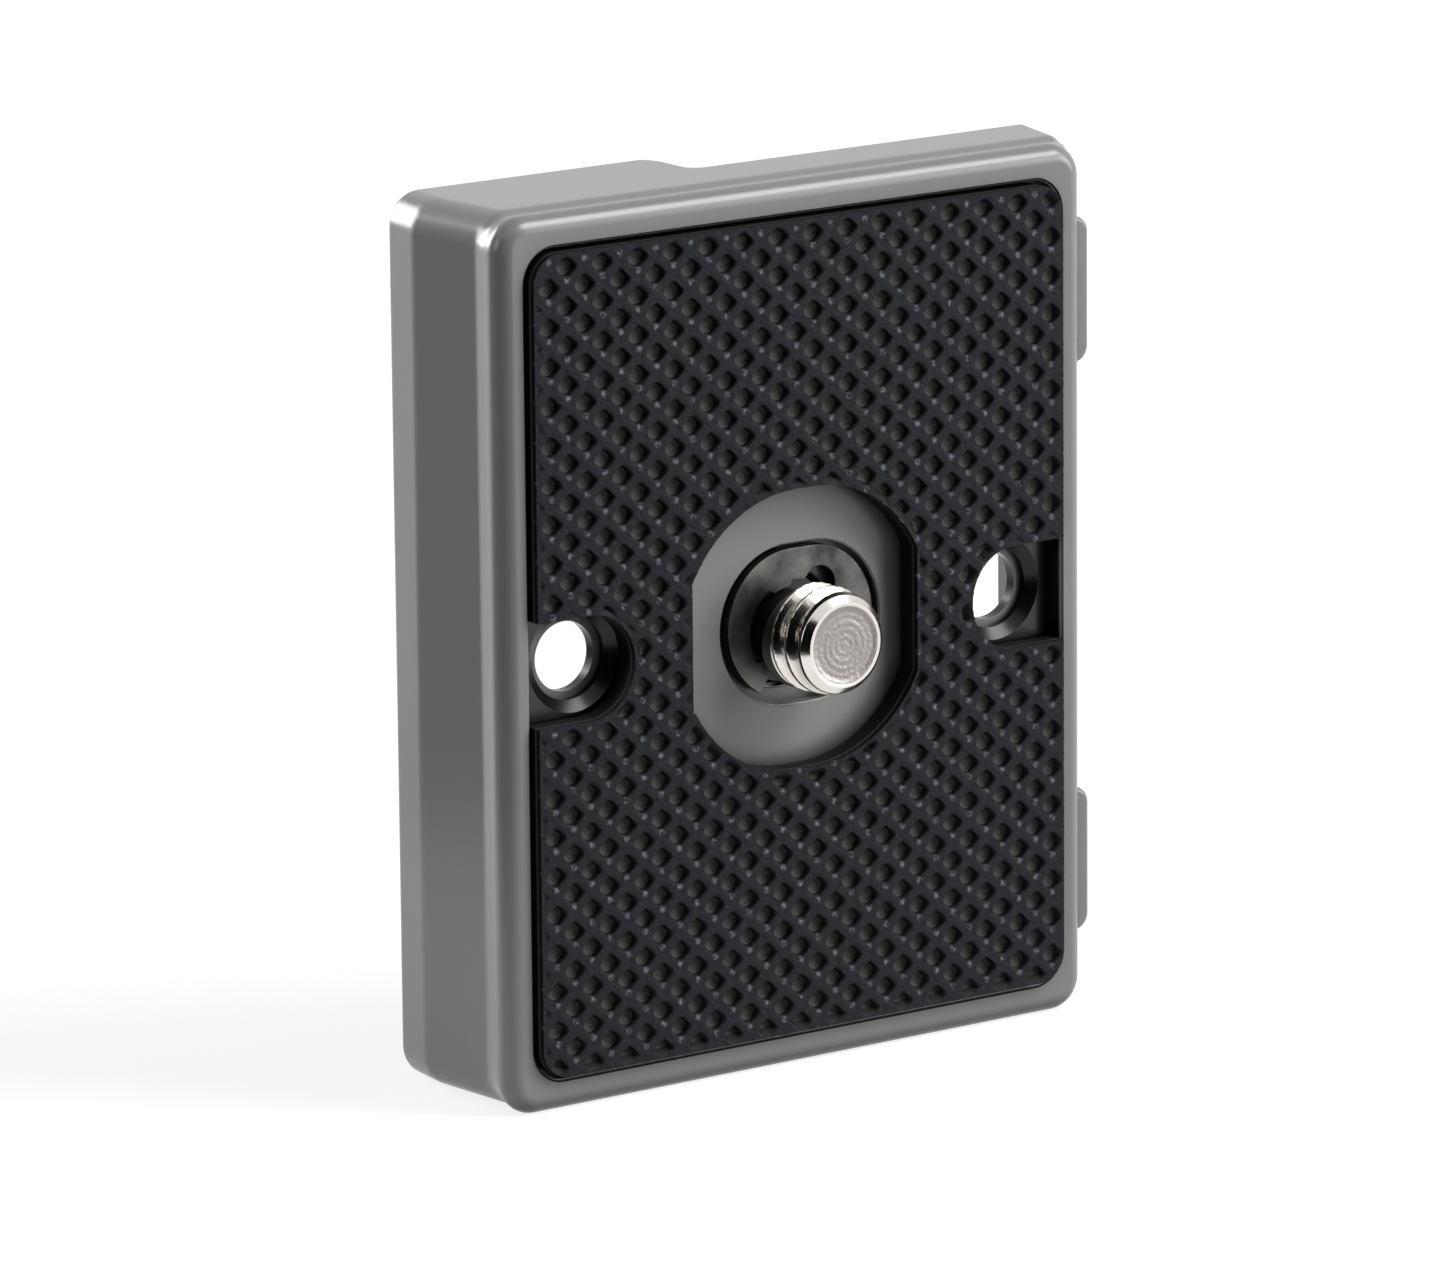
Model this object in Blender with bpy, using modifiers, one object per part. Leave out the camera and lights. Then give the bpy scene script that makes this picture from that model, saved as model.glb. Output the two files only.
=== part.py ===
"""Camera quick release plate with its pad, fixing screw, spring clip and folding ring.

The plate stands on one short end. X runs across it, Z runs along it, and Y runs from the
camera side at the front to the tripod side at the back. Depths below are measured back from
the rim round the pad. The origin is on the flat bottom end of the casting.
"""
import math

import bmesh
import bpy
from mathutils import Matrix, Vector

MM = 0.001

# Casting, outer form
PLATE_WIDTH = 41.7 * MM
PLATE_LENGTH = 52.5 * MM
CORNER_RADIUS = 2.0 * MM
FRONT_RADIUS = 1.0 * MM
FLARE_LENGTH = 2.2 * MM
LEFT_NECK = 0.45 * MM
END_GROOVE = 0.22 * MM
LEFT_WEDGE = 0.45 * MM
RIGHT_WEDGE = 1.5 * MM
RIGHT_CORNER = 0.8 * MM
CREST_DEPTH = 8.8 * MM
CREST_FALL = 0.3 * MM
BLOCK_DEPTH = 11.9 * MM
BLOCK_WIDTH = 18.45 * MM
FLANGE_DEPTH = 7.1 * MM
BACK_RADIUS = 0.5 * MM
STEP_ROUND = 1.8 * MM
STEP_FILLET = 1.0 * MM
TAB_REACH = 0.95 * MM
TAB_LENGTH = 8.8 * MM
TAB_END_GAP = 4.55 * MM
TAB_FRONT = 0.7 * MM
TAB_BACK = 5.0 * MM
TAB_CORNER = 1.0 * MM
TAB_EDGE = 0.3 * MM
TAB_ROOT = 0.5 * MM

# Casting, camera side
RIM_SIDE = 1.7 * MM
RIM_END = 1.9 * MM
RECESS_DEPTH = 1.3 * MM
RECESS_CORNER = 2.0 * MM
WEB_THICKNESS = 1.6 * MM
COUNTERBORE_DEPTH = 1.0 * MM
COUNTERBORE_RADIUS = 4.78 * MM
COUNTERBORE_X = 0.9 * MM
COUNTERBORE_DROP = 0.1 * MM
COUNTERBORE_SPREAD = 0.95 * MM
HOLE_SPACING = 30.5 * MM
HOLE_RADIUS = 2.05 * MM
COUNTERSINK_RADIUS = 3.15 * MM
COUNTERSINK_DEPTH = 0.5 * MM
COUNTERDRILL_RADIUS = 2.5 * MM
LEDGE_THICKNESS = 0.7 * MM

# Casting, tripod side
WALL = 1.8 * MM
RIGHT_WALL = 1.1 * MM
CROSS_WALL = 1.5 * MM
WELL_LENGTH = 25.0 * MM
POCKET_CORNER = 1.5 * MM
POCKET_DRAFT = 0.03
BOSS_WALL = 3.3 * MM
BOSS_HEIGHT = 0.5 * MM

# Rubber pad
PAD_THICKNESS = 1.57 * MM
PAD_CLEARANCE = 0.25 * MM
PAD_CORNER = 1.8 * MM
WINDOW_WIDTH = 16.2 * MM
WINDOW_SHIFT = 0.6 * MM
WINDOW_FLAT_CUT = 0.85 * MM
NOTCH_RADIUS = 3.1 * MM
NOTCH_DROP = 0.25 * MM
PIT_PITCH_ACROSS = 2.475 * MM
PIT_PITCH_ALONG = 2.285 * MM
PIT_START_X = 0.7 * MM
PIT_START_Z = 0.4 * MM
PIT_MOUTH = 1.15 * MM
PIT_FLOOR = 0.8 * MM
PIT_DEPTH = 0.45 * MM
PIT_MARGIN = 0.15 * MM

# Screw, clip and ring
SCREW_X = 0.4 * MM
SCREW_DROP = 0.5 * MM
SCREW_RADIUS = 3.175 * MM
SCREW_REACH = 3.8 * MM
TIP_CHAMFER = 0.65 * MM
TIP_CHAMFER_LENGTH = 0.6 * MM
NECK_CUT = 0.85 * MM
HEAD_RADIUS = 6.2 * MM
HEAD_THICKNESS = 3.0 * MM
HEAD_CHAMFER = 0.4 * MM
COIN_SLOT_WIDTH = 1.6 * MM
COIN_SLOT_DEPTH = 1.2 * MM
NECK_FRONT = 0.2 * MM
SLIDE_LEFT = 0.5 * MM
SLIDE_RIGHT = 0.2 * MM
CLIP_THICKNESS = 0.55 * MM
CLIP_RADIUS = 4.45 * MM
CLIP_X = 1.05 * MM
CLIP_SPREAD = 0.75 * MM
CLIP_EYE = 0.4 * MM
CLIP_OPENING = 33.0
CLIP_LUG_ANGLE = 105.0
CLIP_LUG_HALF_ANGLE = 12.0
CLIP_LUG_SPREAD = 125.0
CLIP_LOBE = 1.3 * MM
CLIP_LOBE_ANGLE = 50.0
CLIP_LOBE_HALF_ANGLE = 20.0
WIRE_RADIUS = 0.9 * MM
BOW_RADIUS = 8.3 * MM
BOW_BEND = 1.3 * MM
LEG_INSERT = 1.8 * MM

# Fits
SEAT_GAP = 0.3 * MM
SHANK_CLEARANCE = 0.3 * MM
NECK_CLEARANCE = 0.25 * MM
PIVOT_CLEARANCE = 0.3 * MM

# Facets
CORNER_STEPS = 5
FRONT_STEPS = 5
FLARE_STEPS = 6
BACK_STEPS = 3
ROUND_STEPS = 32
CUT_OVERRUN = 2.0 * MM
SINK = 0.5 * MM
MERGE_DISTANCE = 0.001 * MM
FACE_TOLERANCE = 0.01 * MM
FLAT_LIMIT = 0.001
SHARP_ANGLE = math.radians(32)

# Places worked out from the sizes above
ORIGIN_DEPTH = 5.0 * MM
HALF_WIDTH = PLATE_WIDTH / 2
HALF_LENGTH = PLATE_LENGTH / 2
TAB_CENTRE = HALF_LENGTH - TAB_END_GAP - TAB_LENGTH / 2
MID_HEIGHT = HALF_LENGTH
NECK_DEPTH = FRONT_RADIUS + FLARE_LENGTH
FLANGE_RIGHT = HALF_WIDTH + RIGHT_WEDGE
STEP_X = BLOCK_WIDTH - HALF_WIDTH
WEB_BACK = RECESS_DEPTH + WEB_THICKNESS
HOLE_X = HOLE_SPACING / 2
WINDOW_HALF_WIDTH = WINDOW_WIDTH / 2
WINDOW_RADIUS = WINDOW_HALF_WIDTH - WINDOW_SHIFT + WINDOW_FLAT_CUT
PAD_BACK = RECESS_DEPTH - SEAT_GAP
PAD_FRONT = PAD_BACK - PAD_THICKNESS
PAD_HALF_WIDTH = HALF_WIDTH - RIM_SIDE - PAD_CLEARANCE
PAD_HALF_LENGTH = HALF_LENGTH - RIM_END - PAD_CLEARANCE
COUNTERBORE_FLOOR = RECESS_DEPTH + COUNTERBORE_DEPTH
CLIP_BACK = COUNTERBORE_FLOOR - SEAT_GAP
CLIP_FRONT = CLIP_BACK - CLIP_THICKNESS
NECK_RADIUS = SCREW_RADIUS - NECK_CUT
SHANK_SLOT_RADIUS = SCREW_RADIUS + SHANK_CLEARANCE
SLOT_LEFT = SCREW_X - SLIDE_LEFT
SLOT_RIGHT = SCREW_X + SLIDE_RIGHT
BOSS_TOP = WEB_BACK + BOSS_HEIGHT
HEAD_FRONT = BOSS_TOP + SEAT_GAP
HEAD_BACK = HEAD_FRONT + HEAD_THICKNESS
PIVOT_DEPTH = (HEAD_FRONT + HEAD_BACK) / 2
PIVOT_HOLE_RADIUS = WIRE_RADIUS + PIVOT_CLEARANCE


def place(x, depth, z):
    """World position from the plate's centre line, the depth behind the rim and the mid height."""
    return Vector((x, depth - ORIGIN_DEPTH, z + MID_HEIGHT))


def clear_scene():
    for old in list(bpy.data.objects):
        bpy.data.objects.remove(old, do_unlink=True)


def new_collection(name):
    collection = bpy.data.collections.new(name)
    bpy.context.scene.collection.children.link(collection)
    return collection


def material(name, colour, roughness, metallic):
    finish = bpy.data.materials.new(name)
    finish.use_nodes = True
    shader = finish.node_tree.nodes["Principled BSDF"]
    shader.inputs["Base Color"].default_value = (*colour, 1.0)
    shader.inputs["Roughness"].default_value = roughness
    shader.inputs["Metallic"].default_value = metallic
    finish.diffuse_color = (*colour, 1.0)
    return finish


def add_mesh(name, bm, collection):
    bmesh.ops.recalc_face_normals(bm, faces=bm.faces)
    mesh = bpy.data.meshes.new(name)
    bm.to_mesh(mesh)
    bm.free()
    piece = bpy.data.objects.new(name, mesh)
    collection.objects.link(piece)
    if collection is cutters:
        piece.hide_render = True
        piece.display_type = "WIRE"
    return piece


def polar(centre, radius, degrees):
    """A point at a radius and an angle from a centre in an (x, z) or (x, depth) plane."""
    angle = math.radians(degrees)
    return (centre[0] + radius * math.cos(angle), centre[1] + radius * math.sin(angle))


def arc(centre, radius, start, end, steps):
    """Points on an arc, with its first and last angles in degrees."""
    return [polar(centre, radius, start + (end - start) * step / steps) for step in range(steps + 1)]


def rounded_outline(left, right, low, high, radius, right_radius=None):
    """Corner arcs of a rounded rectangle, anticlockwise from the lower right corner."""
    right_radius = radius if right_radius is None else right_radius
    corners = [(right - right_radius, low + right_radius, right_radius, -90),
               (right - right_radius, high - right_radius, right_radius, 0),
               (left + radius, high - radius, radius, 90),
               (left + radius, low + radius, radius, 180)]
    points = []
    for x, z, bend, start in corners:
        points += arc((x, z), bend, start, start + 90, CORNER_STEPS)
    return points


def obround_outline(left, right, z, radius):
    """A slot with round ends whose centres are at left and right."""
    half = ROUND_STEPS // 2
    return arc((right, z), radius, -90, 90, half) + arc((left, z), radius, 90, 270, half)


def to_mesh_object(source, collection):
    """Turn an evaluated curve or modified mesh into a plain mesh object of the same name."""
    graph = bpy.context.evaluated_depsgraph_get()
    graph.update()
    mesh = bpy.data.meshes.new_from_object(source.evaluated_get(graph))
    place_in_world = source.matrix_world.copy()
    name = source.name
    bpy.data.objects.remove(source, do_unlink=True)
    bm = bmesh.new()
    bm.from_mesh(mesh)
    bmesh.ops.remove_doubles(bm, verts=bm.verts, dist=MERGE_DISTANCE)
    piece = add_mesh(name, bm, collection)
    piece.matrix_world = place_in_world
    return piece


def flat_solid(name, points, front, back, collection):
    """Extrude an (x, z) outline from one depth to another."""
    curve = bpy.data.curves.new(name, "CURVE")
    curve.dimensions = "2D"
    curve.fill_mode = "BOTH"
    curve.extrude = (back - front) / 2
    spline = curve.splines.new("POLY")
    spline.points.add(len(points) - 1)
    for point, (x, z) in zip(spline.points, points):
        point.co = (x, z, 0, 1)
    spline.use_cyclic_u = True
    outline = bpy.data.objects.new(name, curve)
    collection.objects.link(outline)
    outline.location = place(0, (front + back) / 2, 0)
    outline.rotation_euler = (math.pi / 2, 0, 0)
    bpy.context.view_layer.update()
    return to_mesh_object(outline, collection)


def long_solid(name, points, half_length, collection):
    """Extrude an (x, depth) section along the plate."""
    curve = bpy.data.curves.new(name, "CURVE")
    curve.dimensions = "2D"
    curve.fill_mode = "BOTH"
    curve.extrude = half_length
    spline = curve.splines.new("POLY")
    spline.points.add(len(points) - 1)
    for point, (x, depth) in zip(spline.points, points):
        point.co = (x, depth, 0, 1)
    spline.use_cyclic_u = True
    section = bpy.data.objects.new(name, curve)
    collection.objects.link(section)
    section.location = place(0, 0, 0)
    bpy.context.view_layer.update()
    return to_mesh_object(section, collection)


def round_solid(name, profile, x, z, collection):
    """Turn a (radius, depth) profile, listed from the front to the back, about a fore and aft axis."""
    bm = bmesh.new()
    previous = None
    for radius, depth in profile:
        vertex = bm.verts.new((radius, 0, -depth))
        if previous is not None:
            bm.edges.new((previous, vertex))
        previous = vertex
    mesh = bpy.data.meshes.new(name)
    bm.to_mesh(mesh)
    bm.free()
    piece = bpy.data.objects.new(name, mesh)
    collection.objects.link(piece)
    turn = piece.modifiers.new("turn", "SCREW")
    turn.axis = "Z"
    turn.steps = ROUND_STEPS
    turn.render_steps = ROUND_STEPS
    turn.use_merge_vertices = True
    turn.merge_threshold = MERGE_DISTANCE
    piece.location = place(x, 0, z)
    piece.rotation_euler = (math.pi / 2, 0, 0)
    bpy.context.view_layer.update()
    return to_mesh_object(piece, collection)


def drafted_pocket(name, left, right, low, high, back):
    """A pocket from the web to past the back, with draft so that the casting leaves its die."""
    depth = back - WEB_BACK
    bm = bmesh.new()
    rings = []
    for at_depth, grow in ((WEB_BACK, 0.0), (back, POCKET_DRAFT * depth)):
        outline = rounded_outline(left - grow, right + grow, low - grow, high + grow, POCKET_CORNER + grow)
        rings.append([place(x, at_depth, z) for x, z in outline])
    skin_rings(bm, rings)
    return add_mesh(name, bm, cutters)


def skin_rings(bm, rings):
    """Join rings of as many points each, and close the first and the last with a face."""
    loops = [[bm.verts.new(point) for point in ring] for ring in rings]
    for near, far in zip(loops, loops[1:]):
        for index, vertex in enumerate(near):
            following = (index + 1) % len(near)
            bm.faces.new((vertex, near[following], far[following], far[index]))
    bm.faces.new(list(reversed(loops[0])))
    bm.faces.new(loops[-1])


def combine(piece, tool, operation):
    step = piece.modifiers.new(f"{operation.lower()} {tool.name}", "BOOLEAN")
    step.operation = operation
    step.solver = "EXACT"
    step.object = tool


def finish_piece(piece, finish):
    """Bake the steps into the mesh, shade it and give it its material."""
    name = piece.name
    piece.name = name + "_steps"
    baked = to_mesh_object(piece, parts)
    baked.name = name
    baked.data.name = name
    baked.data.shade_smooth()
    baked.data.set_sharp_from_angle(angle=SHARP_ANGLE)
    baked.data.materials.clear()
    baked.data.materials.append(finish)
    return baked


def ease(share):
    """A smooth step from 0 to 1."""
    return share * share * (3 - 2 * share)


def right_inset(depth):
    """How far the right side stands in. It widens straight from the bead to the flange."""
    return -RIGHT_WEDGE * (depth - FRONT_RADIUS) / (FLANGE_DEPTH - FRONT_RADIUS)


def casting_levels():
    """Depth, left, right and end insets, and left and right corner radius, of each ring of the casting."""
    levels = []
    for step in range(FRONT_STEPS + 1):
        angle = math.pi / 2 * step / FRONT_STEPS
        inset = FRONT_RADIUS * (1 - math.sin(angle))
        bend = CORNER_RADIUS - inset
        levels.append((FRONT_RADIUS * (1 - math.cos(angle)), inset, inset, inset, bend, bend))
    for step in range(1, FLARE_STEPS + 1):
        share = step / FLARE_STEPS
        depth = FRONT_RADIUS + FLARE_LENGTH * share
        groove = END_GROOVE * math.sin(math.pi * share) ** 2
        right_bend = CORNER_RADIUS + (RIGHT_CORNER - CORNER_RADIUS) * ease(min(2 * share, 1))
        levels.append((depth, LEFT_NECK * ease(share), right_inset(depth), groove, CORNER_RADIUS, right_bend))
    flange_share = (FLANGE_DEPTH - NECK_DEPTH) / (CREST_DEPTH - NECK_DEPTH)
    left_crest = LEFT_NECK - LEFT_WEDGE
    levels.append((FLANGE_DEPTH, LEFT_NECK - LEFT_WEDGE * flange_share, -RIGHT_WEDGE, 0, CORNER_RADIUS,
                   RIGHT_CORNER))
    levels.append((CREST_DEPTH, left_crest, -RIGHT_WEDGE, 0, CORNER_RADIUS, RIGHT_CORNER))
    left_back = left_crest + CREST_FALL
    for step in range(BACK_STEPS + 1):
        angle = math.pi / 2 * step / BACK_STEPS
        inset = BACK_RADIUS * (1 - math.cos(angle))
        depth = BLOCK_DEPTH - BACK_RADIUS * (1 - math.sin(angle))
        levels.append((depth, left_back + inset, inset - RIGHT_WEDGE, inset, CORNER_RADIUS - inset,
                       RIGHT_CORNER - inset))
    return levels


def casting_blank():
    """Loft the outer form: rounded front bead, neck or groove behind it, and sides that widen to a wedge."""
    rings = []
    for depth, left, right, end, left_bend, right_bend in casting_levels():
        outline = rounded_outline(left - HALF_WIDTH, HALF_WIDTH - right, end - HALF_LENGTH,
                                  HALF_LENGTH - end, left_bend, right_bend)
        rings.append([place(x, depth, z) for x, z in outline])
    bm = bmesh.new()
    skin_rings(bm, rings)
    return add_mesh("plate_body", bm, parts)


def step_cutter():
    """What is taken off behind the shallow part: a rounded shoulder, a fillet and a rounded far edge."""
    right = FLANGE_RIGHT
    past_back = BLOCK_DEPTH + CUT_OVERRUN
    section = arc((STEP_X - STEP_ROUND, BLOCK_DEPTH - STEP_ROUND), STEP_ROUND, 90, 0, CORNER_STEPS)
    section += arc((STEP_X + STEP_FILLET, FLANGE_DEPTH + STEP_FILLET), STEP_FILLET, 180, 270, CORNER_STEPS)
    section += arc((right - BACK_RADIUS, FLANGE_DEPTH - BACK_RADIUS), BACK_RADIUS, 90, 0, CORNER_STEPS)
    section += [(right + CUT_OVERRUN, FLANGE_DEPTH - BACK_RADIUS), (right + CUT_OVERRUN, past_back),
                (STEP_X - STEP_ROUND, past_back)]
    return long_solid("behind_the_step", section, HALF_LENGTH + CUT_OVERRUN, cutters)


def tab(name, side):
    """A stop on the right edge that keeps the plate from sliding in its clamp."""
    middle = side * TAB_CENTRE
    outline = rounded_outline(HALF_WIDTH - TAB_ROOT - TAB_CORNER, HALF_WIDTH + TAB_REACH,
                              middle - TAB_LENGTH / 2, middle + TAB_LENGTH / 2, TAB_CORNER)
    solid = flat_solid(name, outline, TAB_FRONT, TAB_BACK, cutters)
    front = place(0, TAB_FRONT, 0).y
    bm = bmesh.new()
    bm.from_mesh(solid.data)
    world = solid.matrix_world
    rim = [edge for edge in bm.edges
           if all(abs((world @ vertex.co).y - front) < FACE_TOLERANCE for vertex in edge.verts)
           and any(abs((world.to_3x3() @ face.normal).y) < 0.5 for face in edge.link_faces)]
    bmesh.ops.bevel(bm, geom=rim, offset=TAB_EDGE, segments=2, profile=0.5, affect="EDGES")
    bm.to_mesh(solid.data)
    bm.free()
    return solid


def hole_cutter(name, side):
    """A countersunk hole through the web, with a ledge at its far end. Its cone runs on past the floor."""
    mouth = COUNTERSINK_RADIUS + (COUNTERSINK_RADIUS - COUNTERDRILL_RADIUS) * SINK / COUNTERSINK_DEPTH
    ledge = WEB_BACK - LEDGE_THICKNESS
    profile = [(0, RECESS_DEPTH - SINK), (mouth, RECESS_DEPTH - SINK),
               (COUNTERDRILL_RADIUS, RECESS_DEPTH + COUNTERSINK_DEPTH), (COUNTERDRILL_RADIUS, ledge),
               (HOLE_RADIUS, ledge), (HOLE_RADIUS, WEB_BACK + SINK), (0, WEB_BACK + SINK)]
    return round_solid(name, profile, side * HOLE_X, 0, cutters)


def pocket_cutters():
    """The well for the folding ring right across, and two drafted pockets towards each end."""
    past_back = BLOCK_DEPTH + CUT_OVERRUN
    left = WALL + LEFT_NECK - HALF_WIDTH
    right = HALF_WIDTH - RIGHT_WALL
    well_half = WELL_LENGTH / 2
    inner = well_half + CROSS_WALL
    outer = HALF_LENGTH - WALL
    pockets = [drafted_pocket("ring_well", left, right, -well_half, well_half, past_back)]
    for side, ends in (("upper", (inner, outer)), ("lower", (-outer, -inner))):
        pockets.append(drafted_pocket(f"{side}_block_pocket", left, STEP_X - WALL, *ends, past_back))
        pockets.append(drafted_pocket(f"{side}_flange_pocket", STEP_X + WALL, right, *ends, past_back))
    return pockets


def plate_body():
    body = casting_blank()
    combine(body, step_cutter(), "DIFFERENCE")
    for name, side in (("upper_tab", 1), ("lower_tab", -1)):
        combine(body, tab(name, side), "UNION")
    for pocket in pocket_cutters():
        combine(body, pocket, "DIFFERENCE")
    boss = flat_solid("screw_boss", obround_outline(SLOT_LEFT, SLOT_RIGHT, -SCREW_DROP,
                                                    SHANK_SLOT_RADIUS + BOSS_WALL),
                      WEB_BACK - SINK, BOSS_TOP, cutters)
    combine(body, boss, "UNION")
    recess = flat_solid("pad_recess", rounded_outline(RIM_SIDE - HALF_WIDTH, HALF_WIDTH - RIM_SIDE,
                                                      RIM_END - HALF_LENGTH, HALF_LENGTH - RIM_END,
                                                      RECESS_CORNER),
                        -CUT_OVERRUN, RECESS_DEPTH, cutters)
    combine(body, recess, "DIFFERENCE")
    counterbore = flat_solid("clip_counterbore", obround_outline(COUNTERBORE_X - COUNTERBORE_SPREAD,
                                                                 COUNTERBORE_X + COUNTERBORE_SPREAD,
                                                                 -COUNTERBORE_DROP, COUNTERBORE_RADIUS),
                             RECESS_DEPTH - SINK, COUNTERBORE_FLOOR, cutters)
    combine(body, counterbore, "DIFFERENCE")
    shank_slot = flat_solid("shank_slot", obround_outline(SLOT_LEFT, SLOT_RIGHT, -SCREW_DROP,
                                                          SHANK_SLOT_RADIUS),
                            RECESS_DEPTH, BOSS_TOP + CUT_OVERRUN, cutters)
    combine(body, shank_slot, "DIFFERENCE")
    for name, side in (("left_hole", -1), ("right_hole", 1)):
        combine(body, hole_cutter(name, side), "DIFFERENCE")
    return finish_piece(body, material("grey_painted_alloy", (0.205, 0.203, 0.192), 0.38, 0.25))


def pit_fits(x, z):
    """Whether a pit centred here lies wholly on the pad."""
    reach = PIT_MOUTH / math.sqrt(2) + PIT_MARGIN
    if abs(x) > PAD_HALF_WIDTH - reach or abs(z) > PAD_HALF_LENGTH - reach:
        return False
    corner_x = PAD_HALF_WIDTH - PAD_CORNER
    corner_z = PAD_HALF_LENGTH - PAD_CORNER
    if abs(x) > corner_x and abs(z) > corner_z:
        if math.hypot(abs(x) - corner_x, abs(z) - corner_z) > PAD_CORNER - reach:
            return False
    from_arc = math.hypot(max(abs(x) - WINDOW_SHIFT, 0), z)
    if from_arc < WINDOW_RADIUS + reach and abs(x) < WINDOW_HALF_WIDTH + reach:
        return False
    if math.hypot(min(abs(x) - HOLE_X, 0), z + NOTCH_DROP) < NOTCH_RADIUS + reach:
        return False
    return True


def pit_cutters():
    """Square pits set cornerwise, in rows that are offset by half a pitch."""
    bm = bmesh.new()
    height = 2 * PIT_DEPTH
    slope = (PIT_MOUTH - PIT_FLOOR) / 2 / PIT_DEPTH
    outer_half = PIT_MOUTH / 2 + slope * PIT_DEPTH
    upright = Matrix.Rotation(math.pi / 2, 4, "X")
    rows = int(PAD_HALF_LENGTH / (PIT_PITCH_ALONG / 2)) + 1
    columns = int(PAD_HALF_WIDTH / PIT_PITCH_ACROSS) + 1
    for row in range(-rows, rows + 1):
        shift = PIT_PITCH_ACROSS / 2 if row % 2 else 0.0
        for column in range(-columns, columns + 1):
            x = PIT_START_X + column * PIT_PITCH_ACROSS + shift
            z = PIT_START_Z + row * PIT_PITCH_ALONG / 2
            if not pit_fits(x, z):
                continue
            middle = Matrix.Translation(place(x, PAD_FRONT, z))
            bmesh.ops.create_cone(bm, cap_ends=True, segments=4, radius1=PIT_FLOOR / math.sqrt(2),
                                  radius2=outer_half * math.sqrt(2), depth=height, matrix=middle @ upright)
    return add_mesh("pad_pits", bm, cutters)


def rubber_pad():
    outline = rounded_outline(-PAD_HALF_WIDTH, PAD_HALF_WIDTH, -PAD_HALF_LENGTH, PAD_HALF_LENGTH, PAD_CORNER)
    pad = flat_solid("rubber_pad", outline, PAD_FRONT, PAD_BACK, parts)
    flat_angle = math.degrees(math.acos((WINDOW_HALF_WIDTH - WINDOW_SHIFT) / WINDOW_RADIUS))
    half = ROUND_STEPS // 4
    window = []
    for side, turn in ((1, 0), (-1, 180)):
        centre = (side * WINDOW_SHIFT, 0)
        low = arc(centre, WINDOW_RADIUS, turn - 90, turn - flat_angle, half)
        high = arc(centre, WINDOW_RADIUS, turn + flat_angle, turn + 90, half)
        window += low + high
    past_front = PAD_FRONT - CUT_OVERRUN
    past_back = PAD_BACK + CUT_OVERRUN
    combine(pad, flat_solid("pad_window", window, past_front, past_back, cutters), "DIFFERENCE")
    outside = HALF_WIDTH + CUT_OVERRUN
    for name, left, right in (("left_notch", -outside, -HOLE_X), ("right_notch", HOLE_X, outside)):
        notch = flat_solid(name, obround_outline(left, right, -NOTCH_DROP, NOTCH_RADIUS), past_front, past_back,
                           cutters)
        combine(pad, notch, "DIFFERENCE")
    combine(pad, pit_cutters(), "DIFFERENCE")
    return finish_piece(pad, material("black_rubber", (0.018, 0.019, 0.022), 0.62, 0.0))


def camera_screw():
    """The fixing screw: faced tip, plain shank under the thread, clip neck and wide head."""
    tip = -SCREW_REACH
    profile = [(0, tip), (SCREW_RADIUS - TIP_CHAMFER, tip), (SCREW_RADIUS, tip + TIP_CHAMFER_LENGTH),
               (SCREW_RADIUS, NECK_FRONT), (NECK_RADIUS, NECK_FRONT), (NECK_RADIUS, CLIP_BACK + SEAT_GAP),
               (SCREW_RADIUS, CLIP_BACK + SEAT_GAP),
               (SCREW_RADIUS, HEAD_FRONT), (HEAD_RADIUS - HEAD_CHAMFER, HEAD_FRONT),
               (HEAD_RADIUS, HEAD_FRONT + HEAD_CHAMFER), (HEAD_RADIUS, HEAD_BACK - HEAD_CHAMFER),
               (HEAD_RADIUS - HEAD_CHAMFER, HEAD_BACK), (0, HEAD_BACK)]
    screw = round_solid("camera_screw", profile, SCREW_X, -SCREW_DROP, parts)
    hole_floor = HEAD_RADIUS - LEG_INSERT - PIVOT_CLEARANCE
    hole_length = HEAD_RADIUS - hole_floor + CUT_OVERRUN
    for name, side in (("left_pivot_hole", -1), ("right_pivot_hole", 1)):
        bm = bmesh.new()
        middle = place(SCREW_X + side * (hole_floor + hole_length / 2), PIVOT_DEPTH, -SCREW_DROP)
        bmesh.ops.create_cone(bm, cap_ends=True, segments=ROUND_STEPS // 2, radius1=PIVOT_HOLE_RADIUS,
                              radius2=PIVOT_HOLE_RADIUS, depth=hole_length,
                              matrix=Matrix.Translation(middle) @ Matrix.Rotation(math.pi / 2, 4, "Y"))
        combine(screw, add_mesh(name, bm, cutters), "DIFFERENCE")
    bm = bmesh.new()
    slot_size = Matrix.Diagonal((COIN_SLOT_WIDTH, 2 * COIN_SLOT_DEPTH, 2 * HEAD_RADIUS + CUT_OVERRUN, 1))
    bmesh.ops.create_cube(bm, size=1.0,
                          matrix=Matrix.Translation(place(SCREW_X, HEAD_BACK, -SCREW_DROP)) @ slot_size)
    combine(screw, add_mesh("coin_slot", bm, cutters), "DIFFERENCE")
    return finish_piece(screw, material("nickel_plated_steel", (0.62, 0.60, 0.57), 0.22, 1.0))


def clip_reach(degrees):
    """How far it is from the screw's axis to the outer edge of the clip, which is an obround."""
    angle = math.radians(degrees)
    across = math.cos(angle)
    up = math.sin(angle)
    rise = SCREW_DROP - COUNTERBORE_DROP
    ends = (CLIP_X - CLIP_SPREAD - SCREW_X, CLIP_X + CLIP_SPREAD - SCREW_X)
    reaches = []
    for end in ends:
        along = end * across + rise * up
        reaches.append(along + math.sqrt(along * along - end * end - rise * rise + CLIP_RADIUS * CLIP_RADIUS))
    if abs(up) > FLAT_LIMIT:
        flat = (math.copysign(CLIP_RADIUS, up) + rise) / up
        if ends[0] < flat * across < ends[1]:
            reaches.append(flat)
    return max(reaches)


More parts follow.
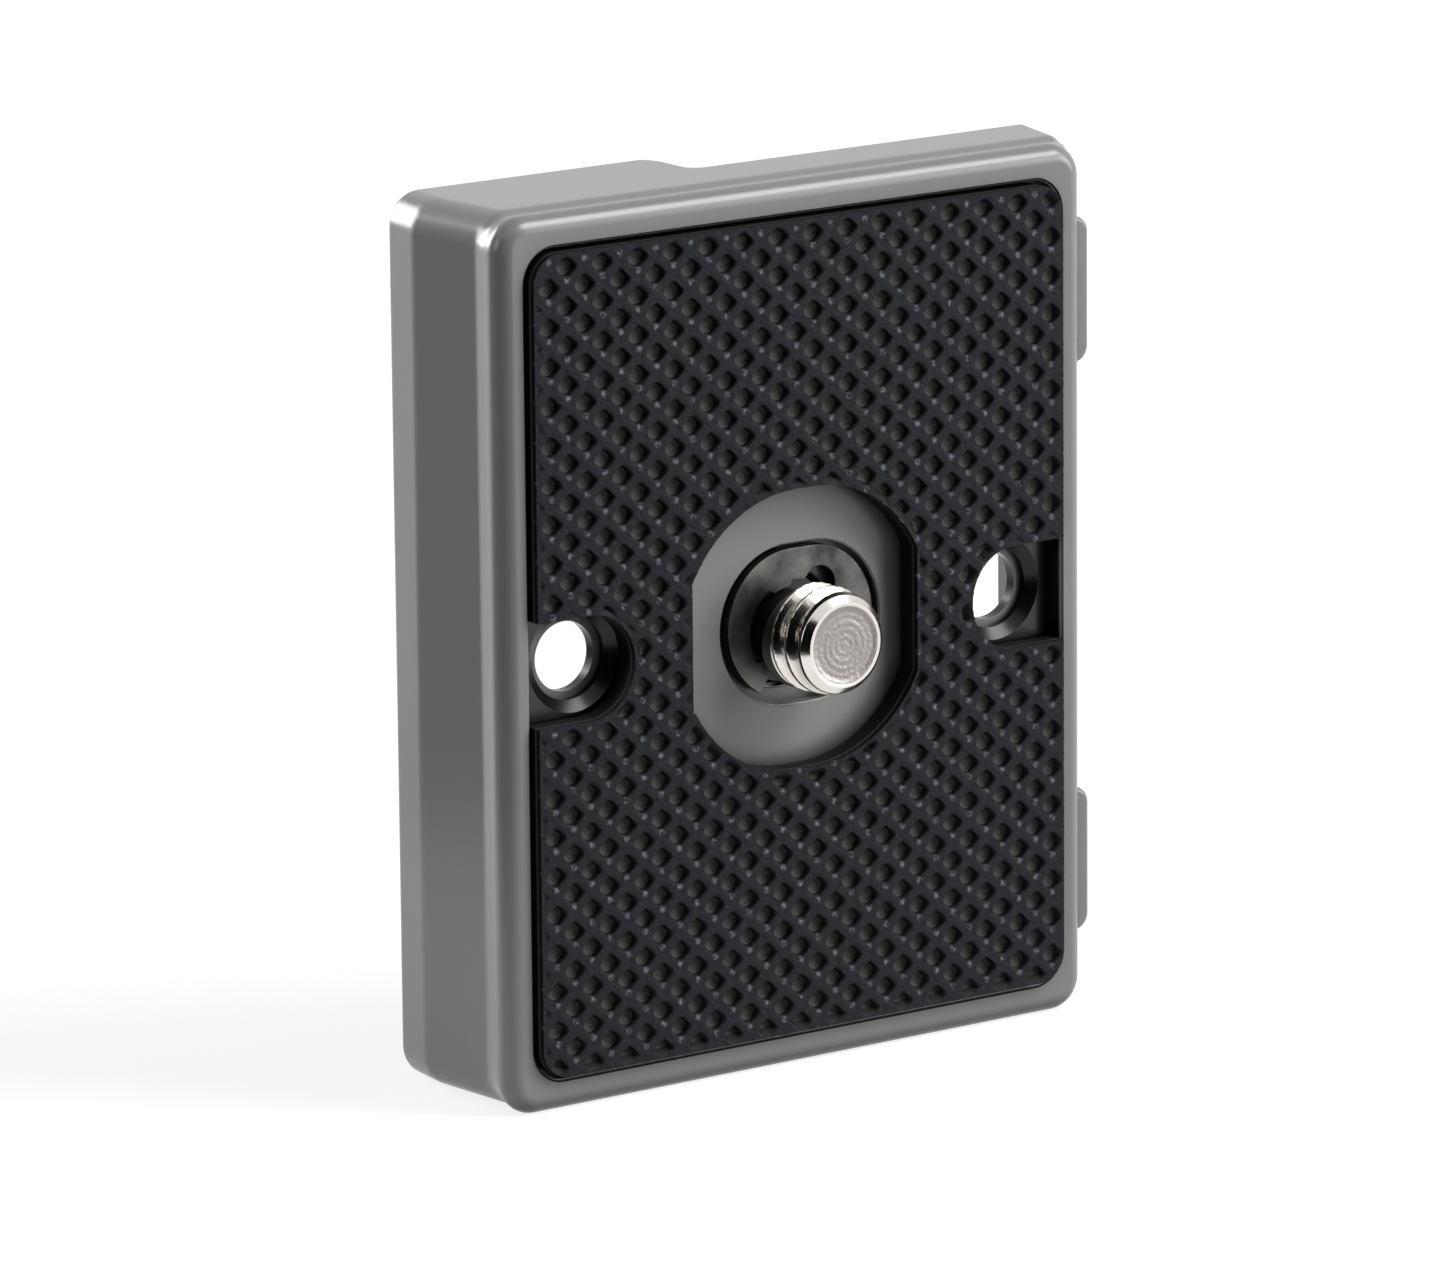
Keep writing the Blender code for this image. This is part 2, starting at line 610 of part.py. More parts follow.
def clip_eye(degrees):
    """Radius of the clip's inner edge: an eye with three lugs in the screw's neck and a spring lobe."""
    lug_radius = NECK_RADIUS + NECK_CLEARANCE
    lugs = (CLIP_LUG_ANGLE, CLIP_LUG_ANGLE - CLIP_LUG_SPREAD, CLIP_LUG_ANGLE + CLIP_LUG_SPREAD)
    away = min(abs(degrees - lug) for lug in lugs)
    share = min(max((away - CLIP_LUG_HALF_ANGLE) / (CLIP_LUG_HALF_ANGLE / 2), 0), 1)
    lobe = max(1 - (abs(degrees - CLIP_LOBE_ANGLE) / CLIP_LOBE_HALF_ANGLE) ** 2, 0)
    return lug_radius + CLIP_EYE * ease(share) + CLIP_LOBE * math.sqrt(lobe)


def retaining_clip():
    """A flat spring clip, open below, that lies in the obround counterbore round the neck of the screw."""
    centre = (SCREW_X, -SCREW_DROP)
    start = CLIP_OPENING - 90
    end = 270 - CLIP_OPENING
    steps = ROUND_STEPS * 2
    points = []
    for step in range(steps + 1):
        angle = start + (end - start) * step / steps
        points.append(polar(centre, clip_reach(angle), angle))
    for step in range(steps + 1):
        angle = end + (start - end) * step / steps
        points.append(polar(centre, clip_eye(angle), angle))
    clip = flat_solid("retaining_ring", points, CLIP_FRONT, CLIP_BACK, parts)
    return finish_piece(clip, material("blackened_steel", (0.10, 0.10, 0.10), 0.42, 0.9))


def folding_ring():
    """The wire ring that turns the screw: two legs in the head and a bow that hangs flat."""
    leg = HEAD_RADIUS - LEG_INSERT
    bend = BOW_RADIUS - BOW_BEND
    half = arc((bend, -BOW_BEND), BOW_BEND, 90, 0, CORNER_STEPS)
    bow = arc((0, -BOW_BEND), BOW_RADIUS, 0, -180, ROUND_STEPS // 2)[1:-1]
    route = [(leg, 0)] + half + bow + [(-x, z) for x, z in reversed(half)] + [(-leg, 0)]
    curve = bpy.data.curves.new("screw_handle", "CURVE")
    curve.dimensions = "3D"
    curve.bevel_depth = WIRE_RADIUS
    curve.bevel_resolution = 2
    curve.use_fill_caps = True
    spline = curve.splines.new("POLY")
    spline.points.add(len(route) - 1)
    for point, (x, z) in zip(spline.points, route):
        point.co = (x, 0, z, 1)
    ring = bpy.data.objects.new("screw_handle", curve)
    parts.objects.link(ring)
    ring.location = place(SCREW_X, PIVOT_DEPTH, -SCREW_DROP)
    bpy.context.view_layer.update()
    return finish_piece(ring, material("bright_steel_wire", (0.55, 0.54, 0.52), 0.25, 1.0))


def carry(piece, parent):
    """Hang a piece on its parent without moving it."""
    bpy.context.view_layer.update()
    piece.parent = parent
    piece.matrix_parent_inverse = parent.matrix_world.inverted()


clear_scene()
parts = new_collection("quick_release_plate")
cutters = new_collection("cutters")
body = plate_body()
pad = rubber_pad()
clip = retaining_clip()
screw = camera_screw()
ring = folding_ring()
carry(pad, body)
carry(clip, body)
carry(screw, clip)
carry(ring, screw)
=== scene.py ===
"""Looks of the camera quick release plate: camera, light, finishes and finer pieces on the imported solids.

Lengths are in millimetres until they reach a mesh. A depth is measured back from the rim round the pad.
"""

import math
import random

import bmesh
import bpy
from mathutils import Matrix, Vector


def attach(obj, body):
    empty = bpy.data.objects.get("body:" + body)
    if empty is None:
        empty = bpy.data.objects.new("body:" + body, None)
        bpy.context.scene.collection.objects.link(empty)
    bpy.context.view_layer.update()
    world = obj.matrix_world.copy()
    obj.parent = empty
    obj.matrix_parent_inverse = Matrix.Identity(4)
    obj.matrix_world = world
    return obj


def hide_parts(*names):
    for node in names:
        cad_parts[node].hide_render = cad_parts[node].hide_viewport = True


MM = 0.001

# Casting, as in the solids
HALF_WIDTH = 20.85
HALF_LENGTH = 26.25
ORIGIN_DEPTH = 5.0
CORNER_RADIUS = 2.0
FRONT_RADIUS = 1.0
FLARE_LENGTH = 2.2
LEFT_NECK = 0.45
END_GROOVE = 0.22
LEFT_WEDGE = 0.45
RIGHT_WEDGE = 1.5
RIGHT_CORNER = 0.8
CREST_DEPTH = 8.8
CREST_FALL = 0.3
BLOCK_DEPTH = 11.9
STEP_X = -2.4
FLANGE_DEPTH = 7.1
BACK_RADIUS = 0.5
STEP_ROUND = 1.8
STEP_FILLET = 1.0
TAB_REACH = 0.95
TAB_LENGTH = 8.8
TAB_CENTRE = 17.3
TAB_FRONT = 0.7
TAB_BACK = 5.0
TAB_CORNER = 1.0
TAB_EDGE = 0.3
TAB_ROOT = 0.5
RIM_SIDE = 1.7
RIM_END = 1.9
RECESS_DEPTH = 1.3
RECESS_CORNER = 2.0
WEB_BACK = 2.9
COUNTERBORE_FLOOR = 2.3
COUNTERBORE_RADIUS = 4.78
COUNTERBORE_X = 0.9
COUNTERBORE_DROP = 0.1
COUNTERBORE_SPREAD = 0.95
HOLE_X = 15.25
HOLE_RADIUS = 2.05
COUNTERSINK_RADIUS = 3.15
COUNTERSINK_DEPTH = 0.5
COUNTERDRILL_RADIUS = 2.5
LEDGE_DEPTH = 2.2
WALL = 1.8
RIGHT_WALL = 1.1
CROSS_WALL = 1.5
WELL_HALF = 12.5
POCKET_CORNER = 1.5
POCKET_DRAFT = 0.03
BOSS_WALL = 3.3
BOSS_TOP = 3.4
BOSS_ROOT = 0.5
POCKET_FLOOR_ROUND = 0.4
EDGE_SUPPORT = 0.3
HOLE_RUN_OUT = 0.5
RIM_LIP = 0.16
SMALL_LIP = 0.08

# Rubber pad, as in the solids
PAD_FRONT = -0.57
PAD_BACK = 1.0
PAD_HALF_WIDTH = 18.9
PAD_HALF_LENGTH = 24.1
PAD_CORNER = 1.8
WINDOW_RADIUS = 8.35
WINDOW_SHIFT = 0.6
WINDOW_HALF_WIDTH = 8.1
NOTCH_RADIUS = 3.1
NOTCH_DROP = 0.25
PIT_ACROSS = 2.475
PIT_ALONG = 2.285
PIT_START = (0.7, 0.4)
PIT_DEPTH = 0.45
PIT_STOPS = (-0.5, -0.37, -0.33, -0.285, -0.235, -0.1, 0.1, 0.235, 0.285, 0.33, 0.37)
PIT_FLOOR_SHARE = 0.255
PIT_MOUTH_SHARE = 0.345
PIT_SQUARENESS = 3.2
PIT_REACH = 24
PIT_FADE_START = 0.1
PIT_FADE = 0.6
MOULD_ROUGHNESS = 0.026
MOULD_CLEARANCE = 0.028
SHEET_MARGIN = 1.5

# Screw, clip and ring, as in the solids
SCREW_X = 0.4
SCREW_DROP = 0.5
SCREW_RADIUS = 3.175
SCREW_TIP = -3.8
TIP_CHAMFER = 0.65
TIP_CHAMFER_LENGTH = 0.6
THREAD_PITCH = 1.27
THREAD_DEPTH = 0.6
THREAD_CREST = THREAD_PITCH / 7
THREAD_START = 0.35
THREAD_RUN_IN = 0.5
THREAD_STEP = 0.04
LEAD_TAPER = 0.2
LEAD_LENGTH = 1.6
FACING = ((0.15, 0.06), (0.9, 0.03), (1.7, 0.03), (2.2, 0.05), (2.32, 0.0))
# Rings of the thread before the neck that are painted black as shade
NECK_SHADE_RINGS = 7
SCREW_STEPS = 96
NECK_RADIUS = 2.325
HEAD_RADIUS = 6.2
HEAD_CHAMFER = 0.4
HEAD_FRONT = 3.7
HEAD_BACK = 6.7
COIN_SLOT_WIDTH = 1.6
COIN_SLOT_CUT = 2.4
PIVOT_DEPTH = 5.2
PIVOT_HOLE_RADIUS = 1.2
PIVOT_HOLE_SPARE = 0.3
LEG_INSERT = 1.8
SLIDE_LEFT = 0.5
SLIDE_RIGHT = 0.2
SHANK_SLOT_RADIUS = 3.475
NECK_FRONT = 0.2
NECK_ROUND = 0.1
NECK_CLEARANCE = 0.3
HEAD_CENTRE = 0.5
CLIP_FRONT = 1.45
CLIP_BACK = 2.0
CLIP_RADIUS = 4.45
CLIP_X = 1.05
CLIP_SPREAD = 0.75
CLIP_OPENING = 33
CLIP_LUG_RADIUS = 2.575
CLIP_EYE = 0.4
CLIP_LUGS = (-20, 105, 230)
CLIP_LUG_HALF_ANGLE = 12
CLIP_LOBE = 1.3
CLIP_LOBE_ANGLE = 50
CLIP_LOBE_HALF_ANGLE = 20
CLIP_EDGE = 0.06
CLIP_STEPS = 144
WIRE_RADIUS = 0.9
BOW_RADIUS = 8.3
BOW_BEND = 1.3

# Finishes: the real sizes of what they are made of, in millimetres, and their main colours; also the colour
# and reach of the shade painted in the recess and of the highlights painted on the pad
PAINT = "7e7e7c"
PAINT_GRAIN = 0.22
# Painted shade: the recess outside the pad's window is coloured near black
RECESS_SHADE_COLOUR = "0e0e0e"
RECESS_SHADE_START = 9.3
RECESS_SHADE_EDGE = 0.4
RECESS_SHADE_FRONT = 0.3
RECESS_SHADE_BACK = 1.45
RUBBER_GRAIN = 0.22
# Painted highlights on the pad's ribs
GLINT_SHARE = 0.33
GLINT_REACH = 0.15
GLINT_CORE = 0.03
GLINT_COLOUR = "777a85"
PLATING_GRAIN = 0.3
FACING_PITCH = 0.42
FACING_GRAIN = 0.22
BLUING_PATCH = 2.2
BRUSH_MARK = (1 / 9, 1 / 0.9, 1 / 2.2)
WIRE_GRAIN = 0.6

# Light, in metres and watts: each lamp is a square soft box that looks at the plate from a direction
LAMPS = (("back_box", (-0.27, 0.92, 0.26), 8.6),
         ("high_box", (0.5, -0.5, 0.7), 8.4),
         ("front_box", (0.78, -0.62, 0.2), 5.2),
         ("left_box", (-0.93, 0.1, 0.35), 2.1))
LAMP_TARGET = (0, 0, 0.026)
LAMP_DISTANCE = 1.0
LAMP_SIZE = 0.5
AMBIENT = 0.05
FLOOR_HALF = 1.5
PAPER_TO_PLATE = 0.45
PAPER_TO_EYE = 0.3
PAPER_GLOW = 0.8
CLOTH_HEADINGS = (-235, -78)
CLOTH_STEPS = 45
CLOTH_NEAR = 0.075
CLOTH_FAR = 1.35
CLOTH_RAISE = 0.0008
CLOTH_TOP = 1.1

# Facets
CORNER_STEPS = 12
ROUND_STEPS = 64
OVERRUN = 2.0
SHARP_ANGLE = math.radians(35)
SHARP_RUBBER = math.radians(60)
SHARP_WIRE = math.radians(50)

# Camera, from a fit to the photograph: pixels, radians and millimetres from the middle of the rim's plane
PHOTO_WIDTH = 1450
FOCAL_PIXELS = 9814.528
YAW = 0.6247087
PITCH = 0.2234498
ROLL = -0.00912528
SIDE_SHIFT = -4.405611
HEIGHT_SHIFT = -0.465509
DISTANCE = 570.0643


def place(x, depth, z):
    """World position in metres from the plate's centre line, the depth behind the rim and the mid height."""
    return Vector((x, depth - ORIGIN_DEPTH, z + HALF_LENGTH)) * MM


def polar(centre, radius, degrees):
    angle = math.radians(degrees)
    return (centre[0] + radius * math.cos(angle), centre[1] + radius * math.sin(angle))


def arc(centre, radius, start, end, steps):
    return [polar(centre, radius, start + (end - start) * step / steps) for step in range(steps + 1)]


def rounded_outline(left, right, low, high, radius, right_radius=None):
    right_radius = radius if right_radius is None else right_radius
    points = []
    for x, z, bend, start in ((right - right_radius, low + right_radius, right_radius, -90),
                              (right - right_radius, high - right_radius, right_radius, 0),
                              (left + radius, high - radius, radius, 90),
                              (left + radius, low + radius, radius, 180)):
        points += arc((x, z), bend, start, start + 90, CORNER_STEPS)
    return points


def obround_outline(left, right, z, radius):
    half = ROUND_STEPS // 2
    return arc((right, z), radius, -90, 90, half) + arc((left, z), radius, 90, 270, half)


def new_object(name, bm):
    bmesh.ops.recalc_face_normals(bm, faces=bm.faces)
    mesh = bpy.data.meshes.new(name)
    bm.to_mesh(mesh)
    bm.free()
    piece = bpy.data.objects.new(name, mesh)
    bpy.context.scene.collection.objects.link(piece)
    return piece


def loft(name, rings):
    """Skin rings of as many world points each, and close both ends."""
    bm = bmesh.new()
    loops = [[bm.verts.new(point) for point in ring] for ring in rings]
    for near, far in zip(loops, loops[1:]):
        for index, vertex in enumerate(near):
            following = (index + 1) % len(near)
            bm.faces.new((vertex, near[following], far[following], far[index]))
    bm.faces.new(list(reversed(loops[0])))
    bm.faces.new(loops[-1])
    return new_object(name, bm)


def prism(name, points, front, back):
    return loft(name, [[place(x, depth, z) for x, z in points] for depth in (front, back)])


def lipped_cut(name, outline, front, back, lip):
    """A cutter whose mouth at the front flares out in a quarter round. outline(grow) gives its points."""
    levels = [(front - OVERRUN, lip), (front, lip)]
    for step in range(1, 4):
        angle = math.pi / 2 * step / 3
        levels.append((front + lip * math.sin(angle), lip * math.cos(angle)))
    levels.append((back, 0))
    return loft(name, [[place(x, depth, z) for x, z in outline(grow)] for depth, grow in levels])


def turned(name, profile, x, z):
    """Turn a (radius, depth) profile about a fore and aft axis. Its first and last radii are zero."""
    bm = bmesh.new()
    rings = []
    for radius, depth in profile:
        if radius == 0:
            rings.append([bm.verts.new(place(x, depth, z))])
        else:
            around = [polar((x, z), radius, 360 * k / ROUND_STEPS) for k in range(ROUND_STEPS)]
            rings.append([bm.verts.new(place(side, depth, up)) for side, up in around])
    for near, far in zip(rings, rings[1:]):
        for k in range(ROUND_STEPS):
            following = (k + 1) % ROUND_STEPS
            corners = [near[k % len(near)], near[following % len(near)],
                       far[following % len(far)], far[k % len(far)]]
            bm.faces.new(list(dict.fromkeys(corners)))
    return new_object(name, bm)


def combine(piece, tools, operation, solver="EXACT"):
    for tool in tools:
        step = piece.modifiers.new(tool.name, "BOOLEAN")
        step.operation = operation
        step.solver = solver
        step.object = tool
    bake(piece)
    for tool in tools:
        bpy.data.objects.remove(tool, do_unlink=True)


def bake(piece):
    """Turn an object and its modifiers into a plain mesh."""
    bpy.context.view_layer.update()
    graph = bpy.context.evaluated_depsgraph_get()
    mesh = bpy.data.meshes.new_from_object(piece.evaluated_get(graph))
    if piece.type == "MESH":
        piece.modifiers.clear()
        piece.data = mesh
        return piece
    name = piece.name
    place_in_world = piece.matrix_world.copy()
    bpy.data.objects.remove(piece, do_unlink=True)
    plain = bpy.data.objects.new(name, mesh)
    bpy.context.scene.collection.objects.link(plain)
    plain.matrix_world = place_in_world
    return plain


def smooth(piece, angle=SHARP_ANGLE):
    """Smooth shading that keeps flat faces flat and edges over the angle sharp."""
    piece.data.shade_smooth()
    piece.data.set_sharp_from_angle(angle=angle)
    weighting = piece.modifiers.new("flat faces", "WEIGHTED_NORMAL")
    weighting.keep_sharp = True
    weighting.weight = 90
    bake(piece)


def wear(piece, *finishes):
    piece.data.materials.clear()
    for finish in finishes:
        piece.data.materials.append(finish)


def stand_in(piece, node, body):
    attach(piece, body)
    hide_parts(node)


def colour(code):
    """Linear colour of an sRGB hex code."""
    values = [int(code[k:k + 2], 16) / 255 for k in (0, 2, 4)]
    return (*[v / 12.92 if v <= 0.04045 else ((v + 0.055) / 1.055) ** 2.4 for v in values], 1.0)


def add_node(tree, kind, settings=(), inputs=(), links=(), stops=()):
    """Add a node with its settings, its input values, its links, as (input, from node, output), and the
    (place, hex code) stops of its colour ramp."""
    made = tree.nodes.new(kind)
    for key, value in dict(settings).items():
        setattr(made, key, value)
    for key, value in dict(inputs).items():
        made.inputs[key].default_value = value
    for key, source, output in links:
        tree.links.new(source.outputs[output], made.inputs[key])
    for _ in stops[2:]:
        made.color_ramp.elements.new(0.5)
    for index, (position, code) in enumerate(stops):
        made.color_ramp.elements[index].position = position
        made.color_ramp.elements[index].color = colour(code)
    return made


def finish(name, code, roughness, metallic=0.0):
    made = bpy.data.materials.new(name)
    made.use_nodes = True
    tree = made.node_tree
    shader = tree.nodes["Principled BSDF"]
    shader.inputs["Base Color"].default_value = colour(code)
    shader.inputs["Roughness"].default_value = roughness
    shader.inputs["Metallic"].default_value = metallic
    return made, tree, shader


def grain(tree, shader, size, height, detail=2.0, under=None):
    """Bump from noise whose grains are as large as size, both in millimetres, over another bump."""
    where = add_node(tree, "ShaderNodeTexCoord")
    noise = add_node(tree, "ShaderNodeTexNoise", inputs={"Scale": 1 / (size * MM), "Detail": detail},
                     links=[("Vector", where, "Object")])
    bump = add_node(tree, "ShaderNodeBump", inputs={"Strength": 1.0, "Distance": height * MM},
                    links=[("Height", noise, "Fac")])
    if under is not None:
        tree.links.new(under.outputs["Normal"], bump.inputs["Normal"])
    tree.links.new(bump.outputs["Normal"], shader.inputs["Normal"])
    return noise


def painted_corner_shade(tree, shader, reach, darkest, source=None):
    """Darken the colour, or that of a node, where walls stand close: painted shade in corners and hollows."""
    # Painted shade: ambient occlusion darkens the base colour where surfaces stand close together
    near = add_node(tree, "ShaderNodeAmbientOcclusion", {"samples": 6}, {"Distance": reach * MM})
    share = add_node(tree, "ShaderNodeMapRange",
                     inputs={"From Min": 0.3, "From Max": 0.95, "To Min": darkest},
                     links=[("Value", near, "AO")])
    darker = add_node(tree, "ShaderNodeMix", {"data_type": "RGBA", "blend_type": "MULTIPLY"},
                      {"Factor": 1.0, "A": shader.inputs["Base Color"].default_value[:]},
                      [("B", share, "Result")])
    if source is not None:
        tree.links.new(source.outputs["Result"], darker.inputs["A"])
    tree.links.new(darker.outputs["Result"], shader.inputs["Base Color"])


def from_screw(tree):
    """Distance from the screw's axis, in metres, as a node."""
    where = add_node(tree, "ShaderNodeTexCoord")
    centred = add_node(tree, "ShaderNodeVectorMath", {"operation": "SUBTRACT"},
                       {1: tuple(place(SCREW_X, 0, -SCREW_DROP))}, [(0, where, "Object")])
    flat = add_node(tree, "ShaderNodeVectorMath", {"operation": "MULTIPLY"}, {1: (1, 0, 1)},
                    [(0, centred, "Vector")])
    return add_node(tree, "ShaderNodeVectorMath", {"operation": "LENGTH"}, links=[(0, flat, "Vector")])


def painted_alloy():
    """Die-cast aluminium alloy under grey semi-gloss paint. The paint lies in a faint orange peel that
    softens the lamps' edges. In the recess outside the pad's window, which shows in the two notches, the
    colour is painted near black as shade, and the corners get painted shade.
    """
    made, tree, shader = finish("grey_painted_alloy", PAINT, 0.26)
    grain(tree, shader, PAINT_GRAIN, 0.0035)
    # Painted shade: near black in the recess outside the pad's window, where it shows in the notches
    share = add_node(tree, "ShaderNodeMapRange",
                     inputs={"From Min": RECESS_SHADE_START * MM, "From Max": (RECESS_SHADE_START + RECESS_SHADE_EDGE) * MM},
                     links=[("Value", from_screw(tree), "Value")])
    where = add_node(tree, "ShaderNodeTexCoord")
    parted = add_node(tree, "ShaderNodeSeparateXYZ", links=[("Vector", where, "Object")])
    middle = place(0, (RECESS_SHADE_FRONT + RECESS_SHADE_BACK) / 2, 0)
    reach = (HALF_WIDTH - RIM_SIDE + 0.1, (RECESS_SHADE_BACK - RECESS_SHADE_FRONT) / 2, HALF_LENGTH - RIM_END + 0.1)
    for axis, centre, half in zip("XYZ", middle, reach):
        near = add_node(tree, "ShaderNodeMath", {"operation": "COMPARE"}, {1: centre, 2: half * MM},
                        [(0, parted, axis)])
        share = add_node(tree, "ShaderNodeMath", {"operation": "MULTIPLY"},
                         links=[(0, share, 0), (1, near, 0)])
    recess_shaded = add_node(tree, "ShaderNodeMix", {"data_type": "RGBA"},
                     {"A": colour(PAINT), "B": colour(RECESS_SHADE_COLOUR)}, [("Factor", share, "Value")])
    # Painted shade in the corners, over the paint and the painted recess shade
    painted_corner_shade(tree, shader, 1.4, 0.1, recess_shaded)
    return made


def drilled_alloy_in_painted_shade():
    """Drilled alloy, its colour painted near black as the shade inside the holes, with painted shade in
    corners and a glint on the cone and the ledge.
    """
    # Painted shade: the hole walls are coloured near black
    made, tree, shader = finish("drilled_alloy_in_painted_shade", "1c1c1b", 0.25, 0.6)
    painted_corner_shade(tree, shader, 1.0, 0.1)
    return made


def black_rubber():
    """Matt moulded rubber, bluish black on the ribs. The walls of its pits are painted black as shade, their
    floors a lighter brown-grey as painted light, and the rib below each pit carries a painted pale highlight.
    The mould's grain is drawn coarser than the real one, so that it shows.
    """
    made, tree, shader = finish("black_rubber", "2a2b30", 0.65)
    shader.inputs["Specular IOR Level"].default_value = 0.13
    noise = grain(tree, shader, RUBBER_GRAIN, 0.04, 3.0)
    where = add_node(tree, "ShaderNodeTexCoord")
    parted = add_node(tree, "ShaderNodeSeparateXYZ", links=[("Vector", where, "Object")])
    top = place(0, PAD_FRONT, 0).y
    down = add_node(tree, "ShaderNodeMapRange",
                    inputs={"From Min": top, "From Max": top + 2 * PIT_DEPTH * MM},
                    links=[("Value", parted, "Y")])
    # Colour by depth below the pad's top: the ribs' own rubber, painted shade on the pit walls and painted
    # light on the pit floors
    colour_and_pit_shading = add_node(tree, "ShaderNodeValToRGB", links=[("Fac", down, "Result")], stops=(
        (0.0, "1f2126"), (0.1, "18191d"), (0.2, "070708"), (0.4, "070708"), (0.46, "464442"),
        (0.57, "464442"), (0.63, "0f0f12")))
    # One painted highlight to each cell of the slanting rows, in the same cells as the pits
    first_a = PIT_START[0] / PIT_ACROSS + (PIT_START[1] + HALF_LENGTH) / PIT_ALONG
    first_b = PIT_START[0] / PIT_ACROSS - (PIT_START[1] + HALF_LENGTH) / PIT_ALONG
    cells = add_node(tree, "ShaderNodeMapping", inputs={
        "Scale": (math.sqrt(2) / (PIT_ACROSS * MM), 0, math.sqrt(2) / (PIT_ALONG * MM)),
        "Rotation": (0, math.pi / 4, 0),
        "Location": (GLINT_SHARE + 0.5 - first_a, 0.5, GLINT_SHARE + 0.5 + first_b)},
        links=[("Vector", where, "Object")])
    within = add_node(tree, "ShaderNodeVectorMath", {"operation": "FRACTION"}, links=[(0, cells, "Vector")])
    centred = add_node(tree, "ShaderNodeVectorMath", {"operation": "SUBTRACT"}, {1: (0.5, 0.5, 0.5)},
                       [(0, within, "Vector")])
    away = add_node(tree, "ShaderNodeVectorMath", {"operation": "LENGTH"}, links=[(0, centred, "Vector")])
    near = add_node(tree, "ShaderNodeMapRange", inputs={"From Min": GLINT_REACH, "From Max": GLINT_CORE},
                    links=[("Value", away, "Value")])
    uneven = add_node(tree, "ShaderNodeMapRange", inputs={"From Min": 0.38, "From Max": 0.62},
                      links=[("Value", noise, "Fac")])
    on_top = add_node(tree, "ShaderNodeMapRange", inputs={"From Min": 0.4, "From Max": 0.15},
                      links=[("Value", down, "Result")])
    painted_glint = add_node(tree, "ShaderNodeMath", {"operation": "MULTIPLY"},
                     links=[(0, near, "Result"), (1, uneven, "Result")])
    painted_glint = add_node(tree, "ShaderNodeMath", {"operation": "MULTIPLY"},
                     links=[(0, painted_glint, "Value"), (1, on_top, "Result")])
    # Painted highlight: a pale spot on the rib below each pit
    surface_look = add_node(tree, "ShaderNodeMix", {"data_type": "RGBA"}, {"B": colour(GLINT_COLOUR)},
                    [("Factor", painted_glint, "Value"), ("A", colour_and_pit_shading, "Color")])
    tree.links.new(surface_look.outputs["Result"], shader.inputs["Base Color"])
    return made


def nickel_steel():
    """Turned steel with bright nickel plating: warm white and near a mirror, with painted shade in the
    thread.
    """
    made, tree, shader = finish("nickel_plated_steel", "d6d2cb", 0.15, 1.0)
    grain(tree, shader, PLATING_GRAIN, 0.006, 3.0)
    # Painted shade in the roots of the thread
    painted_corner_shade(tree, shader, 0.7, 0.12)
    return made


def faced_steel():
    """The tip of the screw, faced on a lathe: duller grey, with faint rings that a worn tool left. The
    rings are drawn coarser than the real ones, so that they show.
    """
    made, tree, shader = finish("faced_steel", "8e8988", 0.36, 1.0)
    turns = add_node(tree, "ShaderNodeMath", {"operation": "MULTIPLY"}, {1: math.tau / (FACING_PITCH * MM)},
                     [(0, from_screw(tree), "Value")])
    rings = add_node(tree, "ShaderNodeMath", {"operation": "SINE"}, links=[(0, turns, "Value")])
    bump = add_node(tree, "ShaderNodeBump", inputs={"Strength": 1.0, "Distance": 0.006 * MM},
                    links=[("Height", rings, "Value")])
    grain(tree, shader, FACING_GRAIN, 0.035, 3.0, bump)
    return made


def blackened_steel():
    """Stamped spring steel, brushed and blackened: dark, with worn patches that are lighter and brownish."""
    made, tree, shader = finish("blackened_steel", "5c5e62", 0.45, 1.0)
    where = add_node(tree, "ShaderNodeTexCoord")
    stretched = add_node(tree, "ShaderNodeMapping", inputs={
        "Scale": [1 / (side * MM) for side in BRUSH_MARK], "Rotation": (0.0, 0.5, 0.0)},
        links=[("Vector", where, "Object")])
    streaks = add_node(tree, "ShaderNodeTexNoise", inputs={"Scale": 1.0, "Detail": 2.0},
                       links=[("Vector", stretched, "Vector")])
    bump = add_node(tree, "ShaderNodeBump", inputs={"Strength": 1.0, "Distance": 0.008 * MM},
                    links=[("Height", streaks, "Fac")])
    tree.links.new(bump.outputs["Normal"], shader.inputs["Normal"])
    clouds = add_node(tree, "ShaderNodeTexNoise", inputs={"Scale": 1 / (BLUING_PATCH * MM), "Detail": 6.0},
                      links=[("Vector", where, "Object")])
    patches = add_node(tree, "ShaderNodeValToRGB", links=[("Fac", clouds, "Fac")],
                       stops=((0.32, "3a3b3e"), (0.66, "716e6a")))
    tree.links.new(patches.outputs["Color"], shader.inputs["Base Color"])
    return made


def neck_steel_in_painted_shade():
    """Steel in the neck and at the end of the thread: dull, its colour painted black as the shade there."""
    made, _, _ = finish("neck_steel_in_painted_shade", "0c0c0c", 0.5)
    return made


def steel_wire():
    """Bright drawn wire: light and smooth, with the slight waves that bending leaves."""
    made, tree, shader = finish("bright_steel_wire", "c9c6c1", 0.24, 1.0)
    grain(tree, shader, WIRE_GRAIN, 0.004)
    return made


def ease(share):
    return share * share * (3 - 2 * share)


def right_inset(depth):
    """The right side widens straight from the bead to the flange."""
    return -RIGHT_WEDGE * min((depth - FRONT_RADIUS) / (FLANGE_DEPTH - FRONT_RADIUS), 1)


